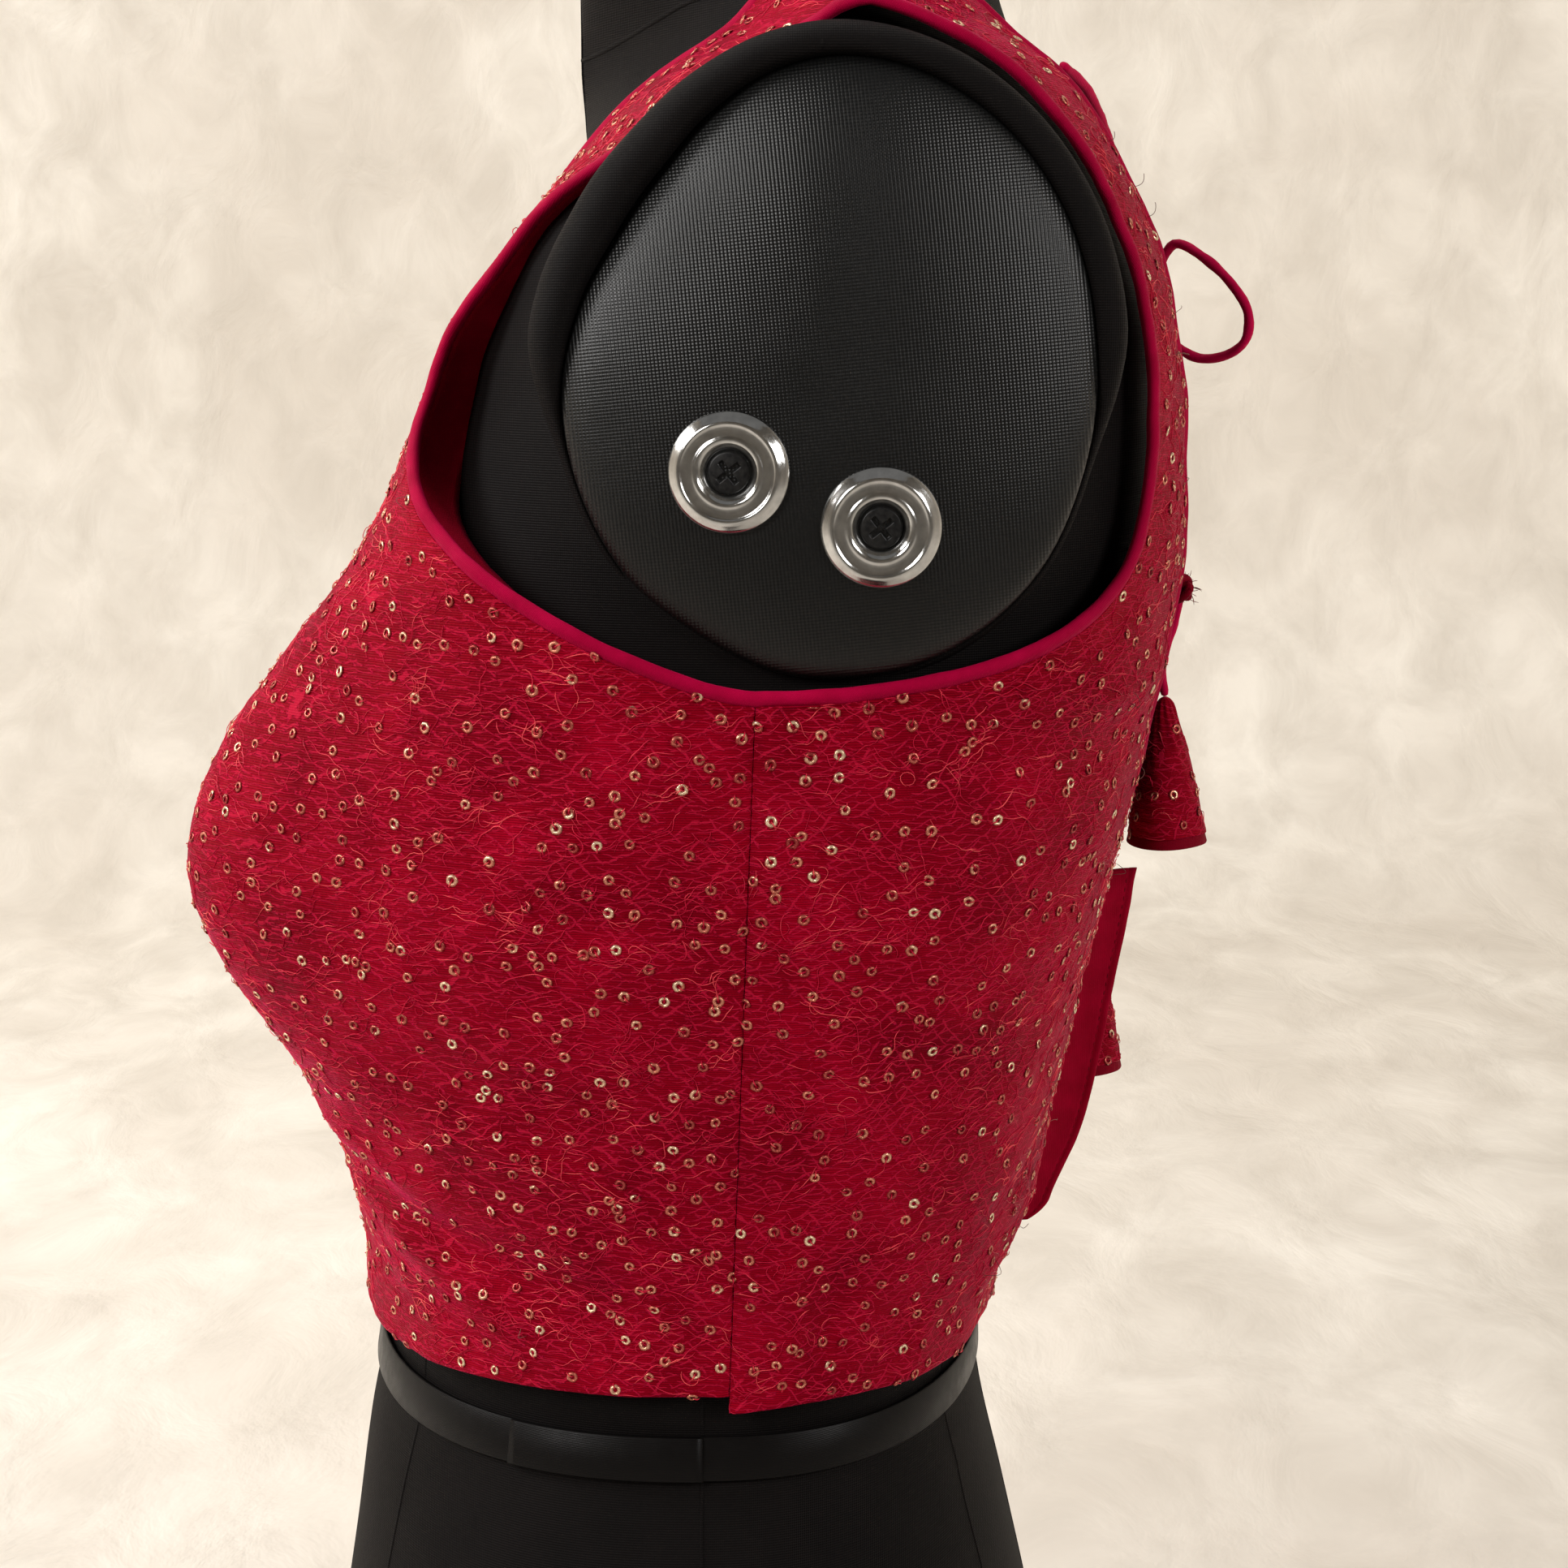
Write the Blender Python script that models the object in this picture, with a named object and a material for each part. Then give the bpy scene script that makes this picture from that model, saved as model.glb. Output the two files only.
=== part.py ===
"""Back-opening choli blouse worn on a limbless tailor's torso form.

Heights in the tables are millimetres from the waist of the form; x runs to the
wearer's left, y to the back.  place() turns them into metres above the base.
"""
import math

import bmesh
import bpy
import numpy as np
from mathutils import Quaternion, Vector
from mathutils.bvhtree import BVHTree

MM = 0.001
WAIST = 230.0            # waist of the form above its flat base
SEAM = 0.3               # gap left between two sewn pieces
WALL = 1.8               # blouse fabric with its lining
UNDERARM = np.array([0.0, 26.0, 212.0])   # line through both underarm points

# Sections of the bare form: height, half width, front, back, widest line,
# roundness of the front half, roundness of the back half.
FORM_SECTIONS = np.array([
    (-230, 158, -102, 116, 6, 2.30, 2.3),
    (-195, 166, -111, 124, 6, 2.30, 2.3),
    (-150, 165, -112, 122, 6, 2.30, 2.3),
    (-100, 154, -107, 112, 6, 2.30, 2.3),
    (-60, 139, -101, 103, 7, 2.30, 2.3),
    (-25, 125, -96, 95, 8, 2.30, 2.3),
    (0, 118, -91, 92, 10, 2.30, 2.3),
    (30, 117, -89, 96, 13, 2.30, 2.4),
    (70, 124, -91, 104, 17, 2.40, 2.6),
    (120, 135, -89, 114, 21, 2.50, 2.7),
    (170, 144, -86, 125, 25, 2.60, 2.8),
    (215, 149, -80, 133, 29, 2.70, 2.9),
    (250, 152, -68, 137, 34, 2.80, 2.9),
    (280, 154, -56, 137, 39, 2.90, 2.9),
    (305, 155, -45, 134, 42, 3.00, 3.0),
    (325, 155, -35.5, 127, 45, 2.80, 3.0),
    (345, 153, -25, 118, 48, 2.15, 2.8),
    (362, 148, -25, 110, 50, 1.40, 2.2),
    (376, 135, -26, 104, 50, 1.05, 1.6),
    (387, 106, -26, 99, 46, 1.15, 1.5),
    (398, 79, -26, 95, 41, 1.50, 1.7),
    (412, 63, -26, 91, 36, 2.00, 2.0),
    (435, 57, -25, 87, 33, 2.00, 2.0),
    (475, 55, -25, 84, 31, 2.00, 2.0),
])
# The same columns for the inside of the blouse, which bridges the hollows.
BLOUSE_SECTIONS = np.array([
    (0, 123, -95, 102, 10, 2.30, 2.3),
    (30, 122, -94, 105, 13, 2.30, 2.4),
    (70, 129, -97, 112, 17, 2.40, 2.6),
    (120, 140, -96, 121, 21, 2.50, 2.7),
    (170, 149, -92, 132, 25, 2.60, 2.8),
    (215, 154, -87, 141, 29, 2.90, 2.9),
    (250, 157, -74, 145, 34, 3.60, 2.9),
    (280, 159, -62, 144, 39, 4.60, 2.9),
    (305, 160, -51, 140, 42, 5.00, 3.0),
    (325, 159, -37, 134, 45, 4.50, 3.0),
    (345, 157, -26, 125, 48, 2.50, 2.8),
    (362, 153, -20, 117, 50, 1.75, 2.3),
    (376, 145, -15, 111, 50, 1.20, 1.7),
    (390, 120, -13, 108, 46, 1.20, 1.6),
    (405, 91, -12, 104, 41, 1.60, 1.8),
])
BUST_HEIGHT, BUST_APART, BUST_RAMP = 160.0, 86.0, 60.0
# Swell of one breast: forward, spread inward, outward, above and below.
FORM_BUST = (41.0, 46.0, 44.0, 64.0, 60.0)
BLOUSE_BUST = (48.0, 50.0, 46.0, 65.0, 63.0)

# Cut edges.  A step below zero is millimetres under the underarm line, a step
# above zero is degrees of the half plane turned up round that line.  Angles
# run from 0 at the side to 90 at the centre front or centre back.
FRONT_STEPS = (-195, -182, -169, -156, -143, -129, -115, -101, -87, -73, -59, -45, -31, -16, 0,
               8.6, 15, 22, 30, 38, 46, 54, 63, 72, 81, 89.5, 98)
BACK_STEPS = (-197, -184, -170, -155, -140, -125, -110, -95, -79, -60, -58, -54, -47, -38, -27, -14,
              0, 3, 8, 14, 21, 29, 38, 47, 56, 65, 73.5, 82)
VEE_FOOT, BACK_NECK_FOOT = 8.6, -60    # rows on which the two neck openings start
COLUMNS = 12
# step, angle of the armhole edge
FRONT_ARMHOLE = ((0, 0), (8, 3), (14, 8), (19, 17), (24, 28), (28, 35.5), (35, 43), (42, 47),
                 (49, 48.5), (56, 48.5), (63, 48.2), (70, 48.2), (77, 48.8), (84, 49.6), (98, 50.4))
BACK_ARMHOLE = ((0, 0), (3, 10), (8, 24), (14, 34.5), (18, 38.5), (25, 42.5), (33, 45.3), (41, 47.6),
                (49, 49.1), (57, 50.4), (65, 51.4), (73.5, 51.4), (82, 50.4))
# step, angle of the neckline
FRONT_NECK = ((-200, 90), (8.6, 90), (14, 85), (20, 80.6), (33, 73), (49, 66.6), (65, 62.8),
              (81, 60.6), (98, 59.8))
BACK_NECK = ((-200, 88.4), (-60, 88.4), (-58, 78), (-54, 70), (-47, 64), (-38, 60), (-27, 57.4),
             (-14, 55.6), (0, 54.9), (14, 55), (25, 55.8), (41, 57.6), (57, 59.3), (73.5, 60), (82, 59.8))
# step, how far the front's neckline is drawn in to lie on the chest
NECK_DRAW = ((-60, 0), (-20, -1.2), (8.6, -4.0), (14, -4.4), (24, -4.3), (49, -4.8), (56, -2.2), (62, -0.6),
             (70, -0.2), (98, 0))
# Soft folds of the worn blouse: from angle and height, to angle and height,
# half width and depth (a minus sign is a trough).
FRONT_LEFT_FOLDS = ((66, 80, 6, 38, 9, -2.2), (60, 92, 30, 62, 7, 1.3), (52, 62, 22, 28, 7, 1.4),
                    (40, 118, 10, 96, 9, -1.2))
FRONT_RIGHT_FOLDS = ((58, 74, 10, 46, 10, -2.0), (64, 50, 34, 26, 8, 1.4), (46, 112, 14, 84, 8, -1.3))
BACK_LEFT_FOLDS = ((12, 206, 52, 194, 9, -1.9), (8, 22, 5, 66, 7, 1.9), (20, 190, 46, 172, 8, 1.2),
                   (70, 88, 30, 54, 9, -1.4))
BACK_RIGHT_FOLDS = ((10, 200, 46, 184, 9, -1.7), (14, 24, 10, 74, 8, 1.7), (66, 104, 30, 78, 9, -1.3))

BINDING_WIDTH, BINDING_THICK = 4.0, 3.0
DORI = 2.8               # cord diameter
LATKAN_LENGTH, LATKAN_BAND = 45.0, 5.0
PLATE_CENTRE = (43.0, 292.3)              # y and height of the arm plate
PLATE_HALF = (64.0, 73.2)
PLATE_FACE = 164.0       # distance of the plate face from the middle plane
PLATE_SEAT = 0.6         # room that lets the hollow back ride over the curve of the side
SOCKETS = (("front", 20.0, 269.0), ("back", 56.0, 256.0))
RING_RADIUS, RING_HOLE = 14.3, 6.2
TAPE_WIDTH, TAPE_THICK = 12.0, 0.9


def place(point):
    return (point[0] * MM, point[1] * MM, (point[2] + WAIST) * MM)


def material(name, colour, roughness, metallic=0.0):
    made = bpy.data.materials.new(name)
    made.use_nodes = True
    made.diffuse_color = (*colour, 1.0)
    shader = made.node_tree.nodes["Principled BSDF"]
    shader.inputs["Base Color"].default_value = (*colour, 1.0)
    shader.inputs["Roughness"].default_value = roughness
    shader.inputs["Metallic"].default_value = metallic
    return made


def build(name, points, faces, look, smooth_angle=40.0):
    mesh = bpy.data.meshes.new(name)
    mesh.from_pydata([place(p) for p in points], [], faces)
    bm = bmesh.new()
    bm.from_mesh(mesh)
    bmesh.ops.remove_doubles(bm, verts=bm.verts, dist=1e-6)
    bmesh.ops.recalc_face_normals(bm, faces=bm.faces)
    for face in bm.faces:
        face.smooth = True
    for edge in bm.edges:
        if len(edge.link_faces) == 2 and edge.calc_face_angle() > math.radians(smooth_angle):
            edge.smooth = False
    bm.to_mesh(mesh)
    bm.free()
    mesh.materials.append(look)
    made = bpy.data.objects.new(name, mesh)
    bpy.context.collection.objects.link(made)
    return made


def slopes(knots, values):
    step = np.diff(knots)[:, None]
    rate = np.diff(values, axis=0) / step
    out = np.zeros_like(values)
    out[0], out[-1] = rate[0], rate[-1]
    out[1:-1] = (rate[:-1] * step[1:] + rate[1:] * step[:-1]) / (step[1:] + step[:-1])
    return out


class Figure:
    """Rounded sections up a torso with two breasts swelling forward."""

    def __init__(self, sections, bust):
        self.heights, self.values = sections[:, 0], sections[:, 1:]
        self.slope = slopes(self.heights, self.values)
        self.swell = bust

    def section(self, height):
        height = np.clip(height, self.heights[0], self.heights[-1])
        i = np.clip(np.searchsorted(self.heights, height) - 1, 0, len(self.heights) - 2)
        step = self.heights[i + 1] - self.heights[i]
        t = ((height - self.heights[i]) / step)[..., None]
        step = step[..., None]
        out = ((2 * t**3 - 3 * t**2 + 1) * self.values[i] + (t**3 - 2 * t**2 + t) * step * self.slope[i]
               + (3 * t**2 - 2 * t**3) * self.values[i + 1] + (t**3 - t**2) * step * self.slope[i + 1])
        return np.moveaxis(out, -1, 0)

    def bust(self, x, height):
        forward, inward, outward, above, below = self.swell
        total = 0.0
        for side in (1, -1):
            across = side * x - BUST_APART
            spread = np.where(across > 0, outward, inward)
            up = height - BUST_HEIGHT
            rise = np.where(up > 0, above, below)
            total = total + np.exp(-(across / spread) ** 2 - (up / rise) ** 2)
        return forward * total

    def level(self, p):
        x, y, height = p[..., 0], p[..., 1], p[..., 2]
        wide, front, back, middle, front_round, back_round = self.section(height)
        ramp = np.clip((middle + 15 - y) / BUST_RAMP, 0, 1)
        ahead = y + self.bust(x, height) * ramp * ramp * (3 - 2 * ramp) - middle
        depth = np.where(ahead < 0, middle - front, back - middle)
        power = np.where(ahead < 0, front_round, back_round)
        return (np.abs(x / wide) ** power + np.abs(ahead / depth) ** power) ** (1 / power) - 1

    def gradient(self, p, e=0.5):
        return np.stack([(self.level(p + e * v) - self.level(p - e * v)) / (2 * e) for v in np.eye(3)], -1)

    def clearance(self, p):
        return self.level(p) / np.maximum(np.linalg.norm(self.gradient(p), axis=-1), 1e-6)

    def normal(self, p):
        g = self.gradient(p)
        return g / np.linalg.norm(g, axis=-1, keepdims=True)

    def hit(self, origin, direction, gap=0.0, far=420.0):
        low, high = np.full(origin.shape[:-1], 2.0), np.full(origin.shape[:-1], far)
        for _ in range(30):
            middle = (low + high) / 2
            inside = self.clearance(origin + middle[..., None] * direction) < gap
            low, high = np.where(inside, middle, low), np.where(inside, high, middle)
        return origin + low[..., None] * direction


FORM = Figure(FORM_SECTIONS, FORM_BUST)
BLOUSE = Figure(BLOUSE_SECTIONS, BLOUSE_BUST)


def ray(step, angle, facing, side):
    """Origin and direction of one grid point; facing is -1 front, +1 back."""
    a = math.radians(angle)
    turn = math.radians(max(step, 0.0))
    origin = UNDERARM + np.array([0.0, 0.04 * min(step, 0.0), min(step, 0.0)])
    return origin, np.array([side * math.cos(a), facing * math.sin(a) * math.cos(turn),
                             math.sin(a) * math.sin(turn)])


def on_blouse(places, facing, side):
    """Points of the blouse at (angle, height) places."""
    rays = [ray(height - UNDERARM[2], angle, facing, side) for angle, height in places]
    return BLOUSE.hit(np.array([r[0] for r in rays]), np.array([r[1] for r in rays]))


def fold_shift(points, folds, facing, side):
    """Signed height of the soft folds at each point."""
    shift = np.zeros(len(points))
    for angle_a, height_a, angle_b, height_b, spread, depth in folds:
        line = on_blouse([(angle_a + t * (angle_b - angle_a), height_a + t * (height_b - height_a))
                          for t in np.linspace(0, 1, 9)], facing, side)
        start, run = line[:-1], np.diff(line, axis=0)
        away = points[:, None] - start
        t = np.clip((away * run).sum(-1) / (run * run).sum(-1), 0, 1)
        gap = np.linalg.norm(away - t[..., None] * run, axis=-1)
        nearest = gap.argmin(axis=1)
        along = (nearest + t[np.arange(len(points)), nearest]) / (len(line) - 1)
        fade = np.clip(np.minimum(along, 1 - along) * 4, 0.25, 1)
        shift += depth * fade * np.exp(-(gap.min(axis=1) / spread) ** 2)
    return shift


def half_panel(steps, armhole, neck, folds, facing, side):
    """Inner and outer points of one side of a panel, rows from hem to shoulder."""
    origins, directions = [], []
    for row, step in enumerate(steps):
        first = np.interp(step, *zip(*armhole))
        last = np.interp(step, *zip(*neck))
        for angle in np.linspace(first, last, COLUMNS + 1):
            rise = 2.4 * math.cos(math.radians(2 * angle)) if row == 0 else 0.0
            origin, direction = ray(step + rise, angle, facing, side)
            if angle < 0.01:
                origin = origin + np.array([0.0, facing * SEAM / 2, 0.0])
            if step == steps[-1]:
                origin = origin + np.array([0.0, facing * SEAM / 2, 0.0])
            origins.append(origin)
            directions.append(direction)
    inner = BLOUSE.hit(np.array(origins), np.array(directions))
    normal = BLOUSE.normal(inner)
    shape = (len(steps), COLUMNS + 1)
    normal = normal.reshape(*shape, 3)
    normal[:, 0, 1] = np.where(np.array(steps) <= 0, 0.0, normal[:, 0, 1])
    normal = (normal / np.linalg.norm(normal, axis=-1, keepdims=True)).reshape(-1, 3)
    shift = fold_shift(inner, folds, facing, side)
    if facing < 0:
        toward_neck = np.linspace(0, 1, COLUMNS + 1) ** 1.5
        shift = shift + (np.interp(steps, *zip(*NECK_DRAW))[:, None] * toward_neck).ravel()
    inner = inner + shift[:, None] * normal
    outer = inner + WALL * normal
    return inner.reshape(*shape, 3), outer.reshape(*shape, 3)


def shell(name, halves, look):
    """Closed panel from half grids that share their x = 0 line."""
    outer, inner, quads, known = [], [], [], {}
    for inner_grid, outer_grid in halves:
        rows, columns = inner_grid.shape[:2]
        index = np.zeros((rows, columns), int)
        for r in range(rows):
            for c in range(columns):
                key = tuple(np.round(inner_grid[r, c], 2) + 0.0)
                if key not in known:
                    known[key] = len(inner)
                    inner.append(inner_grid[r, c])
                    outer.append(outer_grid[r, c])
                index[r, c] = known[key]
        flip = inner_grid[0, 0, 0] < 0
        for r in range(rows - 1):
            for c in range(columns - 1):
                quad = (index[r, c], index[r, c + 1], index[r + 1, c + 1], index[r + 1, c])
                quads.append(quad[::-1] if flip else quad)
    count = len(inner)
    faces = list(quads) + [tuple(i + count for i in quad[::-1]) for quad in quads]
    seen = {}
    for quad in quads:
        for a, b in zip(quad, quad[1:] + quad[:1]):
            seen[(a, b)] = seen.get((a, b), 0) + 1
    for a, b in seen:
        if (b, a) not in seen:
            faces.append((b, a, a + count, b + count))
    return build(name, outer + inner, faces, look, 55.0)


def smooth_curve(route, per_span):
    """Centripetal curve through hand-placed route points."""
    p = np.array(route, float)
    p = np.vstack([2 * p[0] - p[1], p, 2 * p[-1] - p[-2]])
    out = []
    for i in range(1, len(p) - 2):
        a, b, c, d = p[i - 1:i + 3]
        t0, t1 = 0.0, math.sqrt(np.linalg.norm(b - a))
        t2 = t1 + math.sqrt(np.linalg.norm(c - b))
        t3 = t2 + math.sqrt(np.linalg.norm(d - c))
        for t in t1 + (t2 - t1) * np.arange(per_span) / per_span:
            ab = a + (b - a) * (t - t0) / (t1 - t0)
            bc = b + (c - b) * (t - t1) / (t2 - t1)
            cd = c + (d - c) * (t - t2) / (t3 - t2)
            abc = ab + (bc - ab) * (t - t0) / (t2 - t0)
            bcd = bc + (cd - bc) * (t - t1) / (t3 - t1)
            out.append(abc + (bcd - abc) * (t - t1) / (t2 - t1))
    out.append(p[-2])
    return np.array(out)


def finer(points, longest, closed):
    """Points of a line with extra ones wherever two lie far apart."""
    ends = np.vstack([points, points[:1]]) if closed else points
    out = []
    for start, stop in zip(ends[:-1], ends[1:]):
        parts = max(1, math.ceil(np.linalg.norm(stop[:3] - start[:3]) / longest))
        out.extend(start + (stop - start) * k / parts for k in range(parts))
    return np.array(out if closed else out + [ends[-1]])


def binding(name, edge, turn, look, closed):
    """Rounded strip along a cut edge; edge holds points and cloth normals side by side."""
    edge = finer(edge, 14.0, closed)
    count, ring_count = len(edge), 6
    points, faces = [], []
    for i in range(count):
        before = edge[i - 1] if closed else edge[max(i - 1, 0)]
        after = edge[(i + 1) % count] if closed else edge[min(i + 1, count - 1)]
        here, up = edge[i, :3], edge[i, 3:] / np.linalg.norm(edge[i, 3:])
        runs = [run / np.linalg.norm(run) for run in (here - before[:3], after[:3] - here)
                if np.linalg.norm(run) > 1e-6]
        along = sum(runs) / np.linalg.norm(sum(runs))
        out = turn * np.cross(along, up)
        out = out / np.linalg.norm(out)
        centre = here + out * (BINDING_WIDTH / 2 + SEAM) / max(0.5, float(np.dot(along, runs[0])))
        for k in range(ring_count):
            a = 2 * math.pi * (k + 0.5) / ring_count
            points.append(centre + out * math.cos(a) / math.cos(math.pi / ring_count) * BINDING_WIDTH / 2
                          + up * math.sin(a) * BINDING_THICK / 2)
    for i in range(count if closed else count - 1):
        for k in range(ring_count):
            a, b = i * ring_count, ((i + 1) % count) * ring_count
            faces.append((a + k, a + (k + 1) % ring_count, b + (k + 1) % ring_count, b + k))
    if not closed:
        faces.append(tuple(range(ring_count))[::-1])
        faces.append(tuple(range((count - 1) * ring_count, count * ring_count)))
    return build(name, points, faces, look, 60.0)


def edge_line(half, column, first, last):
    """Middle of a cut edge, with the cloth's normal, from one row to another."""
    inner, outer = half[0][first:last + 1, column], half[1][first:last + 1, column]
    return np.hstack([(inner + outer) / 2, outer - inner])


def joined(lines):
    """Edge lines end to end, with one point where two of them meet."""
    out = lines[0]
    for line in lines[1:]:
        out = np.vstack([out[:-1], (out[-1] + line[0])[None] / 2, line[1:]])
    return out


def cord(name, route, look, per_span=4, diameter=DORI):
    line = smooth_curve(route, per_span)
    data = bpy.data.curves.new(name, "CURVE")
    data.dimensions = "3D"
    data.bevel_depth = diameter / 2 * MM
    data.bevel_resolution = 2
    data.use_fill_caps = True
    spline = data.splines.new("POLY")
    spline.points.add(len(line) - 1)
    for point, at in zip(spline.points, line):
        point.co = (*place(at), 1.0)
    spline.use_smooth = True
    data.materials.append(look)
    made = bpy.data.objects.new(name, data)
    bpy.context.collection.objects.link(made)
    return made


def lathe(name, profile, centre, axis, look, sides=24, squash=None, smooth_angle=40.0):
    """Solid turned from (distance along axis, radius) pairs."""
    axis = Vector(axis).normalized()
    turn = Vector((0, 0, 1)).rotation_difference(axis).to_matrix()
    squash = squash or (lambda angle, height: 1.0)
    points, faces = [], []
    for height, radius in profile:
        for k in range(sides):
            a = 2 * math.pi * k / sides
            r = radius * squash(a, height)
            points.append(np.array(turn @ Vector((r * math.cos(a), r * math.sin(a), height))) + np.array(centre))
    for i in range(len(profile) - 1):
        for k in range(sides):
            a, b = i * sides, (i + 1) * sides
            faces.append((a + k, a + (k + 1) % sides, b + (k + 1) % sides, b + k))
    faces.append(tuple(range(sides))[::-1])
    faces.append(tuple(range(len(points) - sides, len(points))))
    return build(name, points, faces, look, smooth_angle)


def torso(look):
    """The bare form: one closed torso standing on its own flat base."""
    heights = (-230, -226, -205, -172, -136, -100, -66, -34, 0, 30, 62, 92, 112, 130, 145, 160, 175,
               192, 212, 234, 256, 276, 294, 310, 325, 340, 353, 364, 373, 381, 389, 398, 410, 435,
               471, 475)
    sides = 36
    points, faces = [], []
    turn = 2 * math.pi * np.arange(sides) / sides
    direction = np.stack([np.cos(turn), np.sin(turn), 0 * turn], -1)
    for height in heights:
        inset = {-230: 4.0, 475: 4.0}.get(height, 0.0)
        middle = float(FORM.section(np.array(float(height)))[3])
        origin = np.tile((0.0, middle, float(height)), (sides, 1))
        points.extend(FORM.hit(origin, direction, -inset))
    for i in range(len(heights) - 1):
        for k in range(sides):
            a, b = i * sides, (i + 1) * sides
            faces.append((a + k, a + (k + 1) % sides, b + (k + 1) % sides, b + k))
    faces.append(tuple(range(sides))[::-1])
    faces.append(tuple(range(len(points) - sides, len(points))))
    return build("form_torso", points, faces, look)


def surface_of(thing):
    mesh = thing.data
    return BVHTree.FromPolygons([v.co.copy() for v in mesh.vertices], [tuple(p.vertices) for p in mesh.polygons])


def arm_plate(name, side, tree, look):
    """Oval pad with a rounded rim; its back follows the side of the torso."""
    centre_y, centre_z = PLATE_CENTRE
    sides = 26
    points, faces = [], []

    def oval(k, inset):
        a = 2 * math.pi * k / sides
        return (centre_y + (PLATE_HALF[0] - inset) * math.cos(a), centre_z + (PLATE_HALF[1] - inset) * math.sin(a))

    for inset, x in ((13.0, PLATE_FACE - 1.6), (8.5, PLATE_FACE - 2.1), (4.6, PLATE_FACE - 3.4),
                     (1.8, PLATE_FACE - 6.0), (0.0, PLATE_FACE - 10.0)):
        for k in range(sides):
            y, z = oval(k, inset)
            points.append((side * x, y, z))
    for inset in (0.0, 7.0, 15.0, 24.0, 35.0, 48.0):
        for k in range(sides):
            y, z = oval(k, inset)
            under = []
            for near_y in (-5.0, 0.0, 5.0):
                for near_z in (-5.0, 0.0, 5.0):
                    start = Vector(place((side * 260.0, y + near_y, z + near_z)))
                    under.append(abs(tree.ray_cast(start, Vector((-side, 0, 0)))[0].x) / MM)
            points.append((side * (max(under) + PLATE_SEAT), y, z))
    ring_total = len(points) // sides
    for i in range(ring_total - 1):
        for k in range(sides):
            a, b = i * sides, (i + 1) * sides
            faces.append((a + k, a + (k + 1) % sides, b + (k + 1) % sides, b + k))
    faces.append(tuple(range(sides))[::-1])
    faces.append(tuple(range(len(points) - sides, len(points))))
    return build(name, points, faces, look, 50.0)


def socket(place_name, side_name, side, y, z, ring_look, screw_look):
    """Cup washer and cross-head screw on the arm plate."""
    start = PLATE_FACE - 1.6 + SEAM
    axis = (side, 0, 0)
    ring = ((0.0, RING_HOLE), (0.0, RING_RADIUS), (0.9, RING_RADIUS), (2.4, 12.9), (3.3, 10.9), (3.3, 9.2),
            (1.4, RING_HOLE))
    sides = 16
    points, faces = [], []
    for height, radius in ring:
        for k in range(sides):
            a = 2 * math.pi * k / sides
            points.append((side * (start + height), y + radius * math.cos(a), z + radius * math.sin(a)))
    for i in range(len(ring)):
        for k in range(sides):
            a, b = i * sides, ((i + 1) % len(ring)) * sides
            faces.append((a + k, a + (k + 1) % sides, b + (k + 1) % sides, b + k))
    build(f"socket_ring_{side_name}_{place_name}", points, faces, ring_look, 35.0)
    head = lathe(f"socket_screw_{side_name}_{place_name}",
                 ((0.0, 4.0), (0.4, RING_HOLE - 0.5), (1.2, RING_HOLE - 0.6), (2.0, 4.9), (2.5, 3.2), (2.6, 2.6)),
                 (side * start, y, z), axis, screw_look, 12)
    slot = bpy.data.meshes.new("cross_slot")
    arm, wide, low, high = 3.2, 0.55, 1.5, 4.0
    outline = ((wide, wide), (wide, arm), (-wide, arm), (-wide, wide), (-arm, wide), (-arm, -wide),
               (-wide, -wide), (-wide, -arm), (wide, -arm), (wide, -wide), (arm, -wide), (arm, wide))
    tilt = math.radians(38)
    corners = []
    for depth in (low, high):
        for across, up in outline:
            corners.append(place((side * (start + depth), y + across * math.cos(tilt) - up * math.sin(tilt),
                                  z + across * math.sin(tilt) + up * math.cos(tilt))))
    count = len(outline)
    walls = [(k, (k + 1) % count, count + (k + 1) % count, count + k) for k in range(count)]
    slot.from_pydata(corners, [], walls + [tuple(range(count))[::-1], tuple(range(count, 2 * count))])
    bm = bmesh.new()
    bm.from_mesh(slot)
    bmesh.ops.recalc_face_normals(bm, faces=bm.faces)
    bm.to_mesh(slot)
    bm.free()
    cutter = bpy.data.objects.new("cross_slot", slot)
    bpy.context.collection.objects.link(cutter)
    cut = head.modifiers.new("cross", "BOOLEAN")
    cut.operation, cut.object, cut.solver = "DIFFERENCE", cutter, "EXACT"
    graph = bpy.context.evaluated_depsgraph_get()
    shaped = bpy.data.meshes.new_from_object(head.evaluated_get(graph))
    head.modifiers.clear()
    head.data = shaped
    bpy.data.objects.remove(cutter)


def waist_tape(look):
    """Flat tape round the waist of the form, just clear of it."""
    sides = 36
    points, faces = [], []
    turn = 2 * math.pi * np.arange(sides) / sides
    direction = np.stack([np.cos(turn), np.sin(turn), 0 * turn], -1)
    low, high = 1.1, 1.1 + TAPE_THICK
    profile = ((-TAPE_WIDTH / 2, low), (-TAPE_WIDTH / 2, high), (TAPE_WIDTH / 2, high), (TAPE_WIDTH / 2, low))
    for height, gap in profile:
        points.extend(FORM.hit(np.tile((0.0, 10.0, height), (sides, 1)), direction, gap))
    for i in range(len(profile)):
        for k in range(sides):
            a, b = i * sides, ((i + 1) % len(profile)) * sides
            faces.append((a + k, a + (k + 1) % sides, b + (k + 1) % sides, b + k))
    return build("waist_tape", points, faces, look)


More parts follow.
